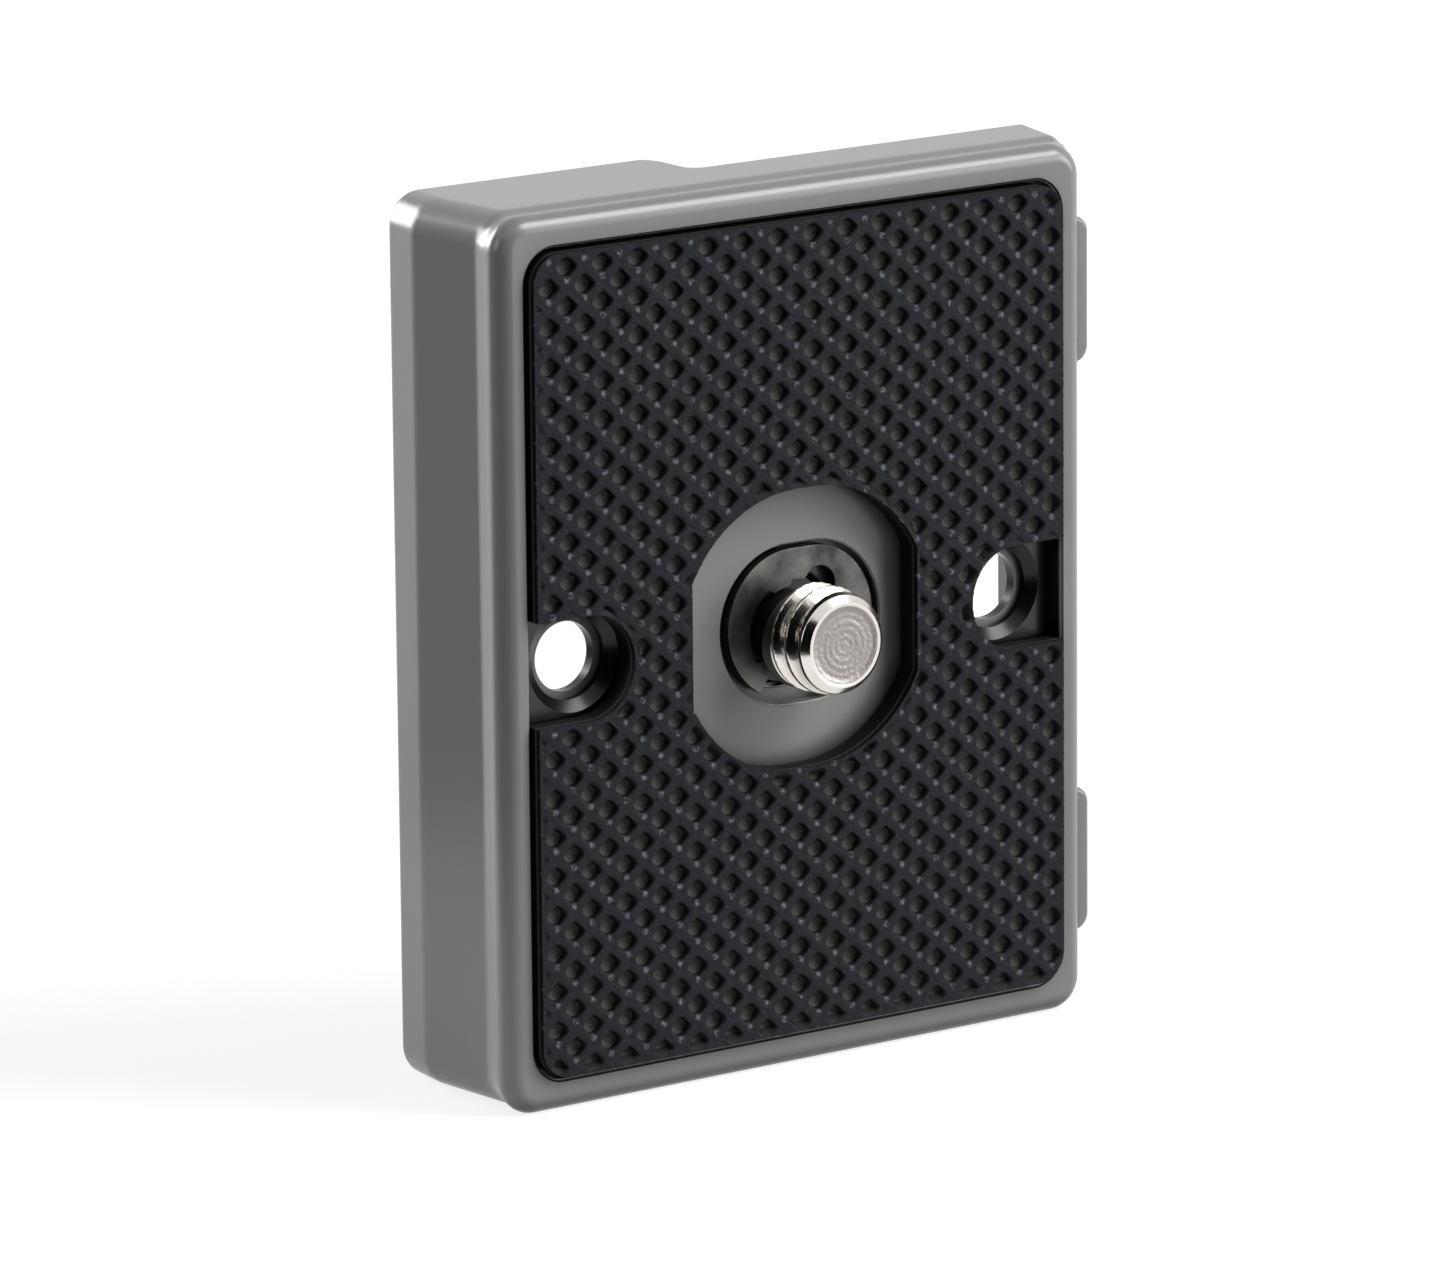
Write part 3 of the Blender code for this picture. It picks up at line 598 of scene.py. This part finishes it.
def casting_levels():
    """Depth, left, right and end insets, and left and right corner radius, of each ring of the casting."""
    levels = []
    front_steps = 10
    for step in range(front_steps + 1):
        angle = math.pi / 2 * step / front_steps
        inset = FRONT_RADIUS * (1 - math.sin(angle))
        bend = CORNER_RADIUS - inset
        levels.append((FRONT_RADIUS * (1 - math.cos(angle)), inset, inset, inset, bend, bend))
    flare_steps = 16
    for step in range(1, flare_steps + 1):
        share = step / flare_steps
        depth = FRONT_RADIUS + FLARE_LENGTH * share
        groove = END_GROOVE * math.sin(math.pi * share) ** 2
        right_bend = CORNER_RADIUS + (RIGHT_CORNER - CORNER_RADIUS) * ease(min(2 * share, 1))
        levels.append((depth, LEFT_NECK * ease(share), right_inset(depth), groove, CORNER_RADIUS, right_bend))
    neck = FRONT_RADIUS + FLARE_LENGTH
    left_crest = LEFT_NECK - LEFT_WEDGE
    for depth in (neck + EDGE_SUPPORT, FLANGE_DEPTH, CREST_DEPTH - EDGE_SUPPORT, CREST_DEPTH):
        left = LEFT_NECK - LEFT_WEDGE * (depth - neck) / (CREST_DEPTH - neck)
        levels.append((depth, left, right_inset(depth), 0, CORNER_RADIUS, RIGHT_CORNER))
    left_back = left_crest + CREST_FALL
    back_start = BLOCK_DEPTH - BACK_RADIUS
    share = EDGE_SUPPORT / (back_start - CREST_DEPTH)
    levels.append((CREST_DEPTH + EDGE_SUPPORT, left_crest + CREST_FALL * share, -RIGHT_WEDGE, 0,
                   CORNER_RADIUS, RIGHT_CORNER))
    back_steps = 6
    for step in range(back_steps + 1):
        angle = math.pi / 2 * step / back_steps
        inset = BACK_RADIUS * (1 - math.cos(angle))
        levels.append((back_start + BACK_RADIUS * math.sin(angle), left_back + inset, inset - RIGHT_WEDGE,
                       inset, CORNER_RADIUS - inset, RIGHT_CORNER - inset))
    return levels


def casting_blank():
    rings = []
    for depth, left, right, end, left_bend, right_bend in casting_levels():
        outline = rounded_outline(left - HALF_WIDTH, HALF_WIDTH - right, end - HALF_LENGTH,
                                  HALF_LENGTH - end, left_bend, right_bend)
        rings.append([place(x, depth, z) for x, z in outline])
    return loft("casting", rings)


def step_cutter():
    right = HALF_WIDTH + RIGHT_WEDGE
    past_back = BLOCK_DEPTH + OVERRUN
    section = arc((STEP_X - STEP_ROUND, BLOCK_DEPTH - STEP_ROUND), STEP_ROUND, 90, 0, CORNER_STEPS)
    section += arc((STEP_X + STEP_FILLET, FLANGE_DEPTH + STEP_FILLET), STEP_FILLET, 180, 270, CORNER_STEPS)
    section += arc((right - BACK_RADIUS, FLANGE_DEPTH - BACK_RADIUS), BACK_RADIUS, 90, 0, CORNER_STEPS)
    section += [(right + OVERRUN, FLANGE_DEPTH - BACK_RADIUS), (right + OVERRUN, past_back),
                (STEP_X - STEP_ROUND, past_back)]
    past_end = HALF_LENGTH + OVERRUN
    return loft("behind_the_step",
                [[place(x, depth, z) for x, depth in section] for z in (-past_end, past_end)])


def tab(name, side):
    middle = side * TAB_CENTRE
    left = HALF_WIDTH - TAB_ROOT - TAB_CORNER
    rings = []
    for step in range(4):
        angle = math.pi / 2 * step / 3
        inset = TAB_EDGE * (1 - math.sin(angle))
        rings.append((TAB_FRONT + TAB_EDGE * (1 - math.cos(angle)), inset))
    rings += [(TAB_BACK - depth + TAB_FRONT, inset) for depth, inset in reversed(rings)]
    return loft(name, [[place(x, depth, z) for x, z in rounded_outline(
        left, HALF_WIDTH + TAB_REACH - inset, middle - TAB_LENGTH / 2 + inset,
        middle + TAB_LENGTH / 2 - inset, TAB_CORNER - inset)] for depth, inset in rings])


def pocket(name, left, right, low, high):
    past_back = BLOCK_DEPTH + OVERRUN
    rings = []
    bend = POCKET_FLOOR_ROUND
    levels = [(WEB_BACK, -bend), (WEB_BACK + 0.3 * bend, -0.3 * bend), (WEB_BACK + bend, 0.0),
              (past_back, POCKET_DRAFT * (past_back - WEB_BACK))]
    for depth, grow in levels:
        outline = rounded_outline(left - grow, right + grow, low - grow, high + grow, POCKET_CORNER + grow)
        rings.append([place(x, depth, z) for x, z in outline])
    return loft(name, rings)


def plate_body():
    body = casting_blank()
    combine(body, [step_cutter()], "DIFFERENCE")
    combine(body, [tab("upper_tab", 1), tab("lower_tab", -1)], "UNION")
    left = WALL + LEFT_NECK - HALF_WIDTH
    right = HALF_WIDTH - RIGHT_WALL
    inner = WELL_HALF + CROSS_WALL
    outer = HALF_LENGTH - WALL
    pockets = [pocket("ring_well", left, right, -WELL_HALF, WELL_HALF)]
    for side, ends in (("upper", (inner, outer)), ("lower", (-outer, -inner))):
        pockets.append(pocket(f"{side}_block_pocket", left, STEP_X - WALL, *ends))
        pockets.append(pocket(f"{side}_flange_pocket", STEP_X + WALL, right, *ends))
    combine(body, pockets, "DIFFERENCE")
    slot = (SCREW_X - SLIDE_LEFT, SCREW_X + SLIDE_RIGHT, -SCREW_DROP)
    combine(body, [prism("screw_boss", obround_outline(*slot, SHANK_SLOT_RADIUS + BOSS_WALL),
                         WEB_BACK - BOSS_ROOT, BOSS_TOP)], "UNION")
    recess = lipped_cut("pad_recess", lambda grow: rounded_outline(
        RIM_SIDE - HALF_WIDTH - grow, HALF_WIDTH - RIM_SIDE + grow, RIM_END - HALF_LENGTH - grow,
        HALF_LENGTH - RIM_END + grow, RECESS_CORNER + grow), 0, RECESS_DEPTH, RIM_LIP)
    combine(body, [recess], "DIFFERENCE")
    counterbore = lipped_cut("clip_counterbore", lambda grow: obround_outline(
        COUNTERBORE_X - COUNTERBORE_SPREAD, COUNTERBORE_X + COUNTERBORE_SPREAD, -COUNTERBORE_DROP,
        COUNTERBORE_RADIUS + grow),
        RECESS_DEPTH, COUNTERBORE_FLOOR, SMALL_LIP)
    combine(body, [counterbore], "DIFFERENCE")
    shank_slot = lipped_cut("shank_slot", lambda grow: obround_outline(*slot, SHANK_SLOT_RADIUS + grow),
                            COUNTERBORE_FLOOR, BOSS_TOP + OVERRUN, SMALL_LIP)
    holes = [shank_slot]
    for name, side in (("left_hole", -1), ("right_hole", 1)):
        flare = (COUNTERSINK_RADIUS - COUNTERDRILL_RADIUS) * HOLE_RUN_OUT / COUNTERSINK_DEPTH
        front = RECESS_DEPTH - HOLE_RUN_OUT
        back = WEB_BACK + HOLE_RUN_OUT
        holes.append(turned(name, [(0, front), (COUNTERSINK_RADIUS + flare, front),
                                   (COUNTERDRILL_RADIUS, RECESS_DEPTH + COUNTERSINK_DEPTH),
                                   (COUNTERDRILL_RADIUS, LEDGE_DEPTH), (HOLE_RADIUS, LEDGE_DEPTH),
                                   (HOLE_RADIUS, back), (0, back)], side * HOLE_X, 0))
    combine(body, holes, "DIFFERENCE")
    body.name = "cast_plate"
    wear(body, painted_alloy(), drilled_alloy_in_painted_shade())
    for face in body.data.polygons:
        x, y, z = face.center / MM
        in_hole = math.hypot(abs(x) - HOLE_X, z - HALF_LENGTH) < COUNTERSINK_RADIUS
        if in_hole and abs(face.normal.y) < 0.95 and RECESS_DEPTH < y + ORIGIN_DEPTH < WEB_BACK:
            face.material_index = 1
    smooth(body)
    stand_in(body, "plate_body", "plate")


def pit_height(a, b):
    """Depth below the top of the pad, from 0 to 1, at a place in a cell that runs from -0.5 to 0.5."""
    away = (abs(a) ** PIT_SQUARENESS + abs(b) ** PIT_SQUARENESS) ** (1 / PIT_SQUARENESS)
    share = (PIT_MOUTH_SHARE - away) / (PIT_MOUTH_SHARE - PIT_FLOOR_SHARE)
    return ease(min(max(share, 0.0), 1.0))


def from_border(x, z):
    """Distance in from the pad's outer edge, its window and its notches."""
    over_x = max(abs(x) - PAD_HALF_WIDTH + PAD_CORNER, 0)
    over_z = max(abs(z) - PAD_HALF_LENGTH + PAD_CORNER, 0)
    outer = PAD_CORNER - math.hypot(over_x, over_z)
    window = max(math.hypot(max(abs(x) - WINDOW_SHIFT, 0), z) - WINDOW_RADIUS, abs(x) - WINDOW_HALF_WIDTH)
    notch = math.hypot(min(abs(x) - HOLE_X, 0), z + NOTCH_DROP) - NOTCH_RADIUS
    return min(outer, window, notch)


def pitted_sheet():
    """A slab bigger than the pad, whose mesh follows the slanting rows of pits."""
    draw = random.Random(11)
    per_cell = len(PIT_STOPS)
    stops = [cell + stop for cell in range(-PIT_REACH, PIT_REACH + 1) for stop in PIT_STOPS]
    heights = [[pit_height(a, b) for b in PIT_STOPS] for a in PIT_STOPS]
    limit_x = PAD_HALF_WIDTH + SHEET_MARGIN
    limit_z = PAD_HALF_LENGTH + SHEET_MARGIN
    bm = bmesh.new()
    made = {}
    for i, a in enumerate(stops):
        for j, b in enumerate(stops):
            x = PIT_START[0] + (a + b) * PIT_ACROSS / 2
            z = PIT_START[1] + (a - b) * PIT_ALONG / 2
            if abs(x) < limit_x and abs(z) < limit_z:
                fade = ease(min(max((from_border(x, z) - PIT_FADE_START) / PIT_FADE, 0), 1))
                down = heights[i % per_cell][j % per_cell] * fade
                rough = draw.uniform(-MOULD_ROUGHNESS, MOULD_ROUGHNESS)
                depth = PAD_FRONT + MOULD_CLEARANCE + PIT_DEPTH * down + rough
                made[i, j] = bm.verts.new(place(x, depth, z))
    for (i, j), vertex in made.items():
        around = [(i, j), (i + 1, j), (i + 1, j + 1), (i, j + 1)]
        if all(key in made for key in around):
            bm.faces.new([made[key] for key in around])
    bmesh.ops.delete(bm, geom=[v for v in bm.verts if not v.link_faces], context="VERTS")
    rim = [edge for edge in bm.edges if edge.is_boundary]
    back = bmesh.ops.extrude_edge_only(bm, edges=rim)["geom"]
    floor = place(0, PAD_BACK + OVERRUN, 0).y
    for vertex in [item for item in back if isinstance(item, bmesh.types.BMVert)]:
        vertex.co.y = floor
    bmesh.ops.holes_fill(bm, edges=[edge for edge in bm.edges if edge.is_boundary], sides=0)
    return new_object("pitted_pad", bm)


def rubber_pad():
    window = []
    flat_angle = math.degrees(math.acos((WINDOW_HALF_WIDTH - WINDOW_SHIFT) / WINDOW_RADIUS))
    for side, turn in ((1, 0), (-1, 180)):
        centre = (side * WINDOW_SHIFT, 0)
        window += arc(centre, WINDOW_RADIUS, turn - 90, turn - flat_angle, 18)
        window += arc(centre, WINDOW_RADIUS, turn + flat_angle, turn + 90, 18)
    past_front = PAD_FRONT - OVERRUN
    past_back = PAD_BACK + OVERRUN
    outside = HALF_WIDTH + OVERRUN
    blank = prism("pad_blank", rounded_outline(-PAD_HALF_WIDTH, PAD_HALF_WIDTH, -PAD_HALF_LENGTH,
                                               PAD_HALF_LENGTH, PAD_CORNER), past_front, PAD_BACK)
    cuts = [prism("pad_window", window, past_front, past_back)]
    for name, left, right in (("left_notch", -outside, -HOLE_X), ("right_notch", HOLE_X, outside)):
        outline = obround_outline(left, right, -NOTCH_DROP, NOTCH_RADIUS)
        cuts.append(prism(name, outline, past_front, past_back))
    combine(blank, cuts, "DIFFERENCE", "MANIFOLD")
    pad = pitted_sheet()
    combine(pad, [blank], "INTERSECT", "MANIFOLD")
    pad.data.shade_smooth()
    pad.data.set_sharp_from_angle(angle=SHARP_RUBBER)
    wear(pad, black_rubber())
    stand_in(pad, "rubber_pad", "plate")


def thread_radius(angle, depth):
    """Radius of the threaded shank at an angle, from straight up towards +X, and a depth."""
    along = depth - SCREW_TIP
    turn = (depth - THREAD_PITCH * angle / math.tau) / THREAD_PITCH
    from_crest = abs(turn - math.floor(turn) - 0.5) * THREAD_PITCH
    cut = max(from_crest - THREAD_CREST / 2, 0) * math.sqrt(3)
    runs_in = min(max((along - THREAD_START) / THREAD_RUN_IN, 0), 1)
    thread = SCREW_RADIUS - min(cut, THREAD_DEPTH) * runs_in
    chamfer = SCREW_RADIUS - TIP_CHAMFER * (1 - along / TIP_CHAMFER_LENGTH)
    lead = SCREW_RADIUS - LEAD_TAPER * max(LEAD_LENGTH - along, 0)
    return min(thread, chamfer, lead)


def screw_levels():
    """Depth and radius of each ring of the screw, from its faced tip to its back. The radius is a
    function of the angle and the depth.
    """
    levels = [(SCREW_TIP + sunk, lambda angle, depth, r=radius: r) for radius, sunk in FACING]
    depth = SCREW_TIP
    while depth < NECK_FRONT:
        levels.append((depth, thread_radius))
        depth += THREAD_STEP
    neck = len(levels)
    neck_back = CLIP_BACK + NECK_CLEARANCE
    for radius, depth in ((NECK_RADIUS + NECK_ROUND, NECK_FRONT), (NECK_RADIUS, NECK_FRONT + NECK_ROUND),
                          (NECK_RADIUS, neck_back), (SCREW_RADIUS, neck_back), (SCREW_RADIUS, HEAD_FRONT),
                          (HEAD_RADIUS - HEAD_CHAMFER, HEAD_FRONT), (HEAD_RADIUS, HEAD_FRONT + HEAD_CHAMFER),
                          (HEAD_RADIUS, HEAD_BACK - HEAD_CHAMFER), (HEAD_RADIUS - HEAD_CHAMFER, HEAD_BACK),
                          (HEAD_CENTRE, HEAD_BACK)):
        levels.append((depth, lambda angle, depth, r=radius: r))
    return levels, neck


def camera_screw():
    bm = bmesh.new()
    rings = []
    levels, neck = screw_levels()
    for depth, radius_at in levels:
        rings.append([])
        for k in range(SCREW_STEPS):
            angle = math.tau * k / SCREW_STEPS
            radius = radius_at(angle, depth)
            rings[-1].append(bm.verts.new(place(SCREW_X + radius * math.sin(angle), depth,
                                                radius * math.cos(angle) - SCREW_DROP)))
    for index, (near, far) in enumerate(zip(rings, rings[1:])):
        for k in range(SCREW_STEPS):
            following = (k + 1) % SCREW_STEPS
            face = bm.faces.new((near[k], near[following], far[following], far[k]))
            if index + 1 < len(FACING):
                face.material_index = 1
            # Painted shade: the neck and the end of the thread get the black material
            elif neck - NECK_SHADE_RINGS <= index < neck + 3:
                face.material_index = 2
    end = bm.faces.new(list(reversed(rings[0])))
    end.material_index = 1
    bm.faces.new(rings[-1])
    screw = new_object("threaded_screw", bm)
    for surface_look in (nickel_steel(), faced_steel(), neck_steel_in_painted_shade()):
        screw.data.materials.append(surface_look)
    hole_floor = HEAD_RADIUS - LEG_INSERT - PIVOT_HOLE_SPARE
    length = HEAD_RADIUS - hole_floor + OVERRUN
    tools = []
    for name, side in (("left_pivot_hole", -1), ("right_pivot_hole", 1)):
        bm = bmesh.new()
        middle = place(SCREW_X + side * (hole_floor + length / 2), PIVOT_DEPTH, -SCREW_DROP)
        bmesh.ops.create_cone(bm, cap_ends=True, segments=32, radius1=PIVOT_HOLE_RADIUS * MM,
                              radius2=PIVOT_HOLE_RADIUS * MM, depth=length * MM,
                              matrix=Matrix.Translation(middle) @ Matrix.Rotation(math.pi / 2, 4, "Y"))
        tools.append(new_object(name, bm))
    bm = bmesh.new()
    size = Matrix.Diagonal((COIN_SLOT_WIDTH * MM, COIN_SLOT_CUT * MM, (2 * HEAD_RADIUS + OVERRUN) * MM, 1))
    middle = place(SCREW_X, HEAD_BACK, -SCREW_DROP)
    bmesh.ops.create_cube(bm, size=1.0, matrix=Matrix.Translation(middle) @ size)
    tools.append(new_object("coin_slot", bm))
    combine(screw, tools, "DIFFERENCE")
    smooth(screw)
    stand_in(screw, "camera_screw", "screw")


def clip_reach(degrees):
    """From the screw's axis to the outer edge of the clip, which is an obround."""
    across, up = polar((0, 0), 1, degrees)
    rise = SCREW_DROP - COUNTERBORE_DROP
    ends = (CLIP_X - CLIP_SPREAD - SCREW_X, CLIP_X + CLIP_SPREAD - SCREW_X)
    reaches = []
    for end in ends:
        along = end * across + rise * up
        reaches.append(along + math.sqrt(along * along - end * end - rise * rise + CLIP_RADIUS * CLIP_RADIUS))
    if abs(up) > 0.001:
        flat = (math.copysign(CLIP_RADIUS, up) + rise) / up
        if ends[0] < flat * across < ends[1]:
            reaches.append(flat)
    return max(reaches)


def clip_eye(degrees):
    """Radius of the clip's inner edge: three lugs in the neck of the screw and a spring lobe."""
    away = min(abs(degrees - lug) for lug in CLIP_LUGS)
    share = min(max((away - CLIP_LUG_HALF_ANGLE) / (CLIP_LUG_HALF_ANGLE / 2), 0), 1)
    lobe = max(1 - (abs(degrees - CLIP_LOBE_ANGLE) / CLIP_LOBE_HALF_ANGLE) ** 2, 0)
    return CLIP_LUG_RADIUS + CLIP_EYE * ease(share) + CLIP_LOBE * math.sqrt(lobe)


def retaining_clip():
    centre = (SCREW_X, -SCREW_DROP)
    start = CLIP_OPENING - 90
    turn = 360 - 2 * CLIP_OPENING
    angles = [start + turn * step / CLIP_STEPS for step in range(CLIP_STEPS + 1)]
    points = [polar(centre, clip_reach(angle), angle) for angle in angles]
    points += [polar(centre, clip_eye(angle), angle) for angle in reversed(angles)]
    clip = prism("spring_clip", points, CLIP_FRONT, CLIP_BACK)
    rounding = clip.modifiers.new("edges", "BEVEL")
    rounding.width = CLIP_EDGE * MM
    rounding.segments = 2
    rounding.limit_method = "ANGLE"
    rounding.angle_limit = math.radians(50)
    bake(clip)
    smooth(clip)
    wear(clip, blackened_steel())
    stand_in(clip, "retaining_ring", "clip")


def folding_ring():
    leg = HEAD_RADIUS - LEG_INSERT
    bend = BOW_RADIUS - BOW_BEND
    half = arc((bend, -BOW_BEND), BOW_BEND, 90, 0, 10)
    bow = arc((0, -BOW_BEND), BOW_RADIUS, 0, -180, 48)[1:-1]
    route = [(leg, 0)] + half + bow + [(-x, z) for x, z in reversed(half)] + [(-leg, 0)]
    curve = bpy.data.curves.new("wire_ring", "CURVE")
    curve.dimensions = "3D"
    curve.bevel_depth = WIRE_RADIUS * MM
    curve.bevel_resolution = 6
    curve.use_fill_caps = True
    spline = curve.splines.new("POLY")
    spline.points.add(len(route) - 1)
    for point, (x, z) in zip(spline.points, route):
        point.co = (*place(SCREW_X + x, PIVOT_DEPTH, z - SCREW_DROP), 1)
    wire = bpy.data.objects.new("wire_ring", curve)
    bpy.context.scene.collection.objects.link(wire)
    wire = bake(wire)
    wire.data.shade_smooth()
    wire.data.set_sharp_from_angle(angle=SHARP_WIRE)
    wear(wire, steel_wire())
    stand_in(wire, "screw_handle", "handle")


def camera():
    across = Vector((math.cos(YAW), -math.sin(YAW), 0))
    ahead = Vector((math.sin(YAW) * math.cos(PITCH), math.cos(YAW) * math.cos(PITCH), -math.sin(PITCH)))
    up = across.cross(ahead)
    turned_across = math.cos(ROLL) * across + math.sin(ROLL) * up
    turned_up = math.cos(ROLL) * up - math.sin(ROLL) * across
    spot = SIDE_SHIFT * turned_across + HEIGHT_SHIFT * turned_up - DISTANCE * ahead
    data = bpy.data.cameras.new("photo_camera")
    data.sensor_fit = "HORIZONTAL"
    data.sensor_width = 36.0
    data.lens = FOCAL_PIXELS * 36.0 / PHOTO_WIDTH
    data.clip_start = 0.01
    data.clip_end = 20.0
    made = bpy.data.objects.new("photo_camera", data)
    bpy.context.scene.collection.objects.link(made)
    turn = Matrix((turned_across, turned_up, -ahead)).transposed().to_4x4()
    made.matrix_world = Matrix.Translation(place(*spot)) @ turn
    bpy.context.scene.camera = made


def lamp(name, direction, power):
    data = bpy.data.lights.new(name, "AREA")
    data.shape = "SQUARE"
    data.size = LAMP_SIZE
    data.energy = power
    made = bpy.data.objects.new(name, data)
    bpy.context.scene.collection.objects.link(made)
    away = Vector(direction).normalized()
    made.location = Vector(LAMP_TARGET) + away * LAMP_DISTANCE
    made.rotation_euler = away.to_track_quat("Z", "Y").to_euler()


def seen_by_eye_or_gloss(tree):
    """The light path node, and a node that is 1 for what the eye and metal see and 0 otherwise."""
    path = add_node(tree, "ShaderNodeLightPath")
    seen = add_node(tree, "ShaderNodeMath", {"operation": "MAXIMUM"},
                    links=[(0, path, "Is Camera Ray"), (1, path, "Is Glossy Ray")])
    return path, seen


def white_world():
    """White to the eye, metal and glass, with little light of its own."""
    world = bpy.data.worlds.new("white_studio")
    world.use_nodes = True
    bpy.context.scene.world = world
    tree = world.node_tree
    path, seen = seen_by_eye_or_gloss(tree)
    seen = add_node(tree, "ShaderNodeMath", {"operation": "MAXIMUM"},
                    links=[(0, seen, "Value"), (1, path, "Is Transmission Ray")])
    strength = add_node(tree, "ShaderNodeMapRange", inputs={"To Min": AMBIENT, "To Max": 1.0},
                        links=[("Value", seen, "Value")])
    background = tree.nodes["Background"]
    background.inputs["Color"].default_value = colour("ffffff")
    tree.links.new(strength.outputs["Result"], background.inputs["Strength"])


def white_floor():
    """White paper that shows the plate's shadow and throws little light back up at it."""
    bm = bmesh.new()
    bmesh.ops.create_grid(bm, x_segments=1, y_segments=1, size=FLOOR_HALF)
    floor = new_object("white_floor", bm)
    made = bpy.data.materials.new("white_paper")
    made.use_nodes = True
    tree = made.node_tree
    tree.nodes.remove(tree.nodes["Principled BSDF"])
    path, seen = seen_by_eye_or_gloss(tree)
    shown = add_node(tree, "ShaderNodeMapRange", inputs={"To Min": PAPER_TO_PLATE, "To Max": PAPER_TO_EYE},
                     links=[("Value", path, "Is Camera Ray")])
    paper = add_node(tree, "ShaderNodeBsdfDiffuse", links=[("Color", shown, "Result")])
    lift = add_node(tree, "ShaderNodeMath", {"operation": "MULTIPLY"}, {1: PAPER_GLOW}, [(0, seen, "Value")])
    glow = add_node(tree, "ShaderNodeEmission", links=[("Strength", lift, "Value")])
    both = add_node(tree, "ShaderNodeAddShader", links=[(0, paper, "BSDF"), (1, glow, "Emission")])
    tree.links.new(both.outputs["Shader"], tree.nodes["Material Output"].inputs["Surface"])
    wear(floor, made)


def black_flag():
    """Dark cloth round and under the camera's side of the set, past the lamps. Metal takes its black
    from it, and nothing else sees it.
    """
    bm = bmesh.new()
    headings = arc((0, 0), 1, *CLOTH_HEADINGS, CLOTH_STEPS)
    rings = [[bm.verts.new((x * reach, y * reach, z)) for x, y in headings]
             for reach, z in ((CLOTH_NEAR, CLOTH_RAISE), (CLOTH_FAR, CLOTH_RAISE), (CLOTH_FAR, CLOTH_TOP))]
    for near, far in zip(rings, rings[1:]):
        for k in range(CLOTH_STEPS):
            bm.faces.new((near[k], near[k + 1], far[k + 1], far[k]))
    flag = new_object("black_flag", bm)
    made, _, shader = finish("black_cloth", "0c0c0c", 0.9)
    shader.inputs["Specular IOR Level"].default_value = 0.0
    wear(flag, made)
    flag.visible_camera = False
    flag.visible_diffuse = False
    flag.visible_shadow = False


bpy.context.scene.view_settings.view_transform = "Standard"
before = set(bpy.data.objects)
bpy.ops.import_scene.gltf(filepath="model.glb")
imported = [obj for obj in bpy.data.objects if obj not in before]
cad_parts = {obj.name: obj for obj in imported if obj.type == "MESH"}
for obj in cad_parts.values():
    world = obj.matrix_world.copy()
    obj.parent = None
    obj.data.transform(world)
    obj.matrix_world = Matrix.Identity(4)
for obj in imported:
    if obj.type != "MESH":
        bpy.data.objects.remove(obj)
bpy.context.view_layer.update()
camera()
white_world()
white_floor()
for lamp_name, lamp_direction, lamp_power in LAMPS:
    lamp(lamp_name, lamp_direction, lamp_power)
black_flag()
plate_body()
rubber_pad()
camera_screw()
retaining_clip()
folding_ring()
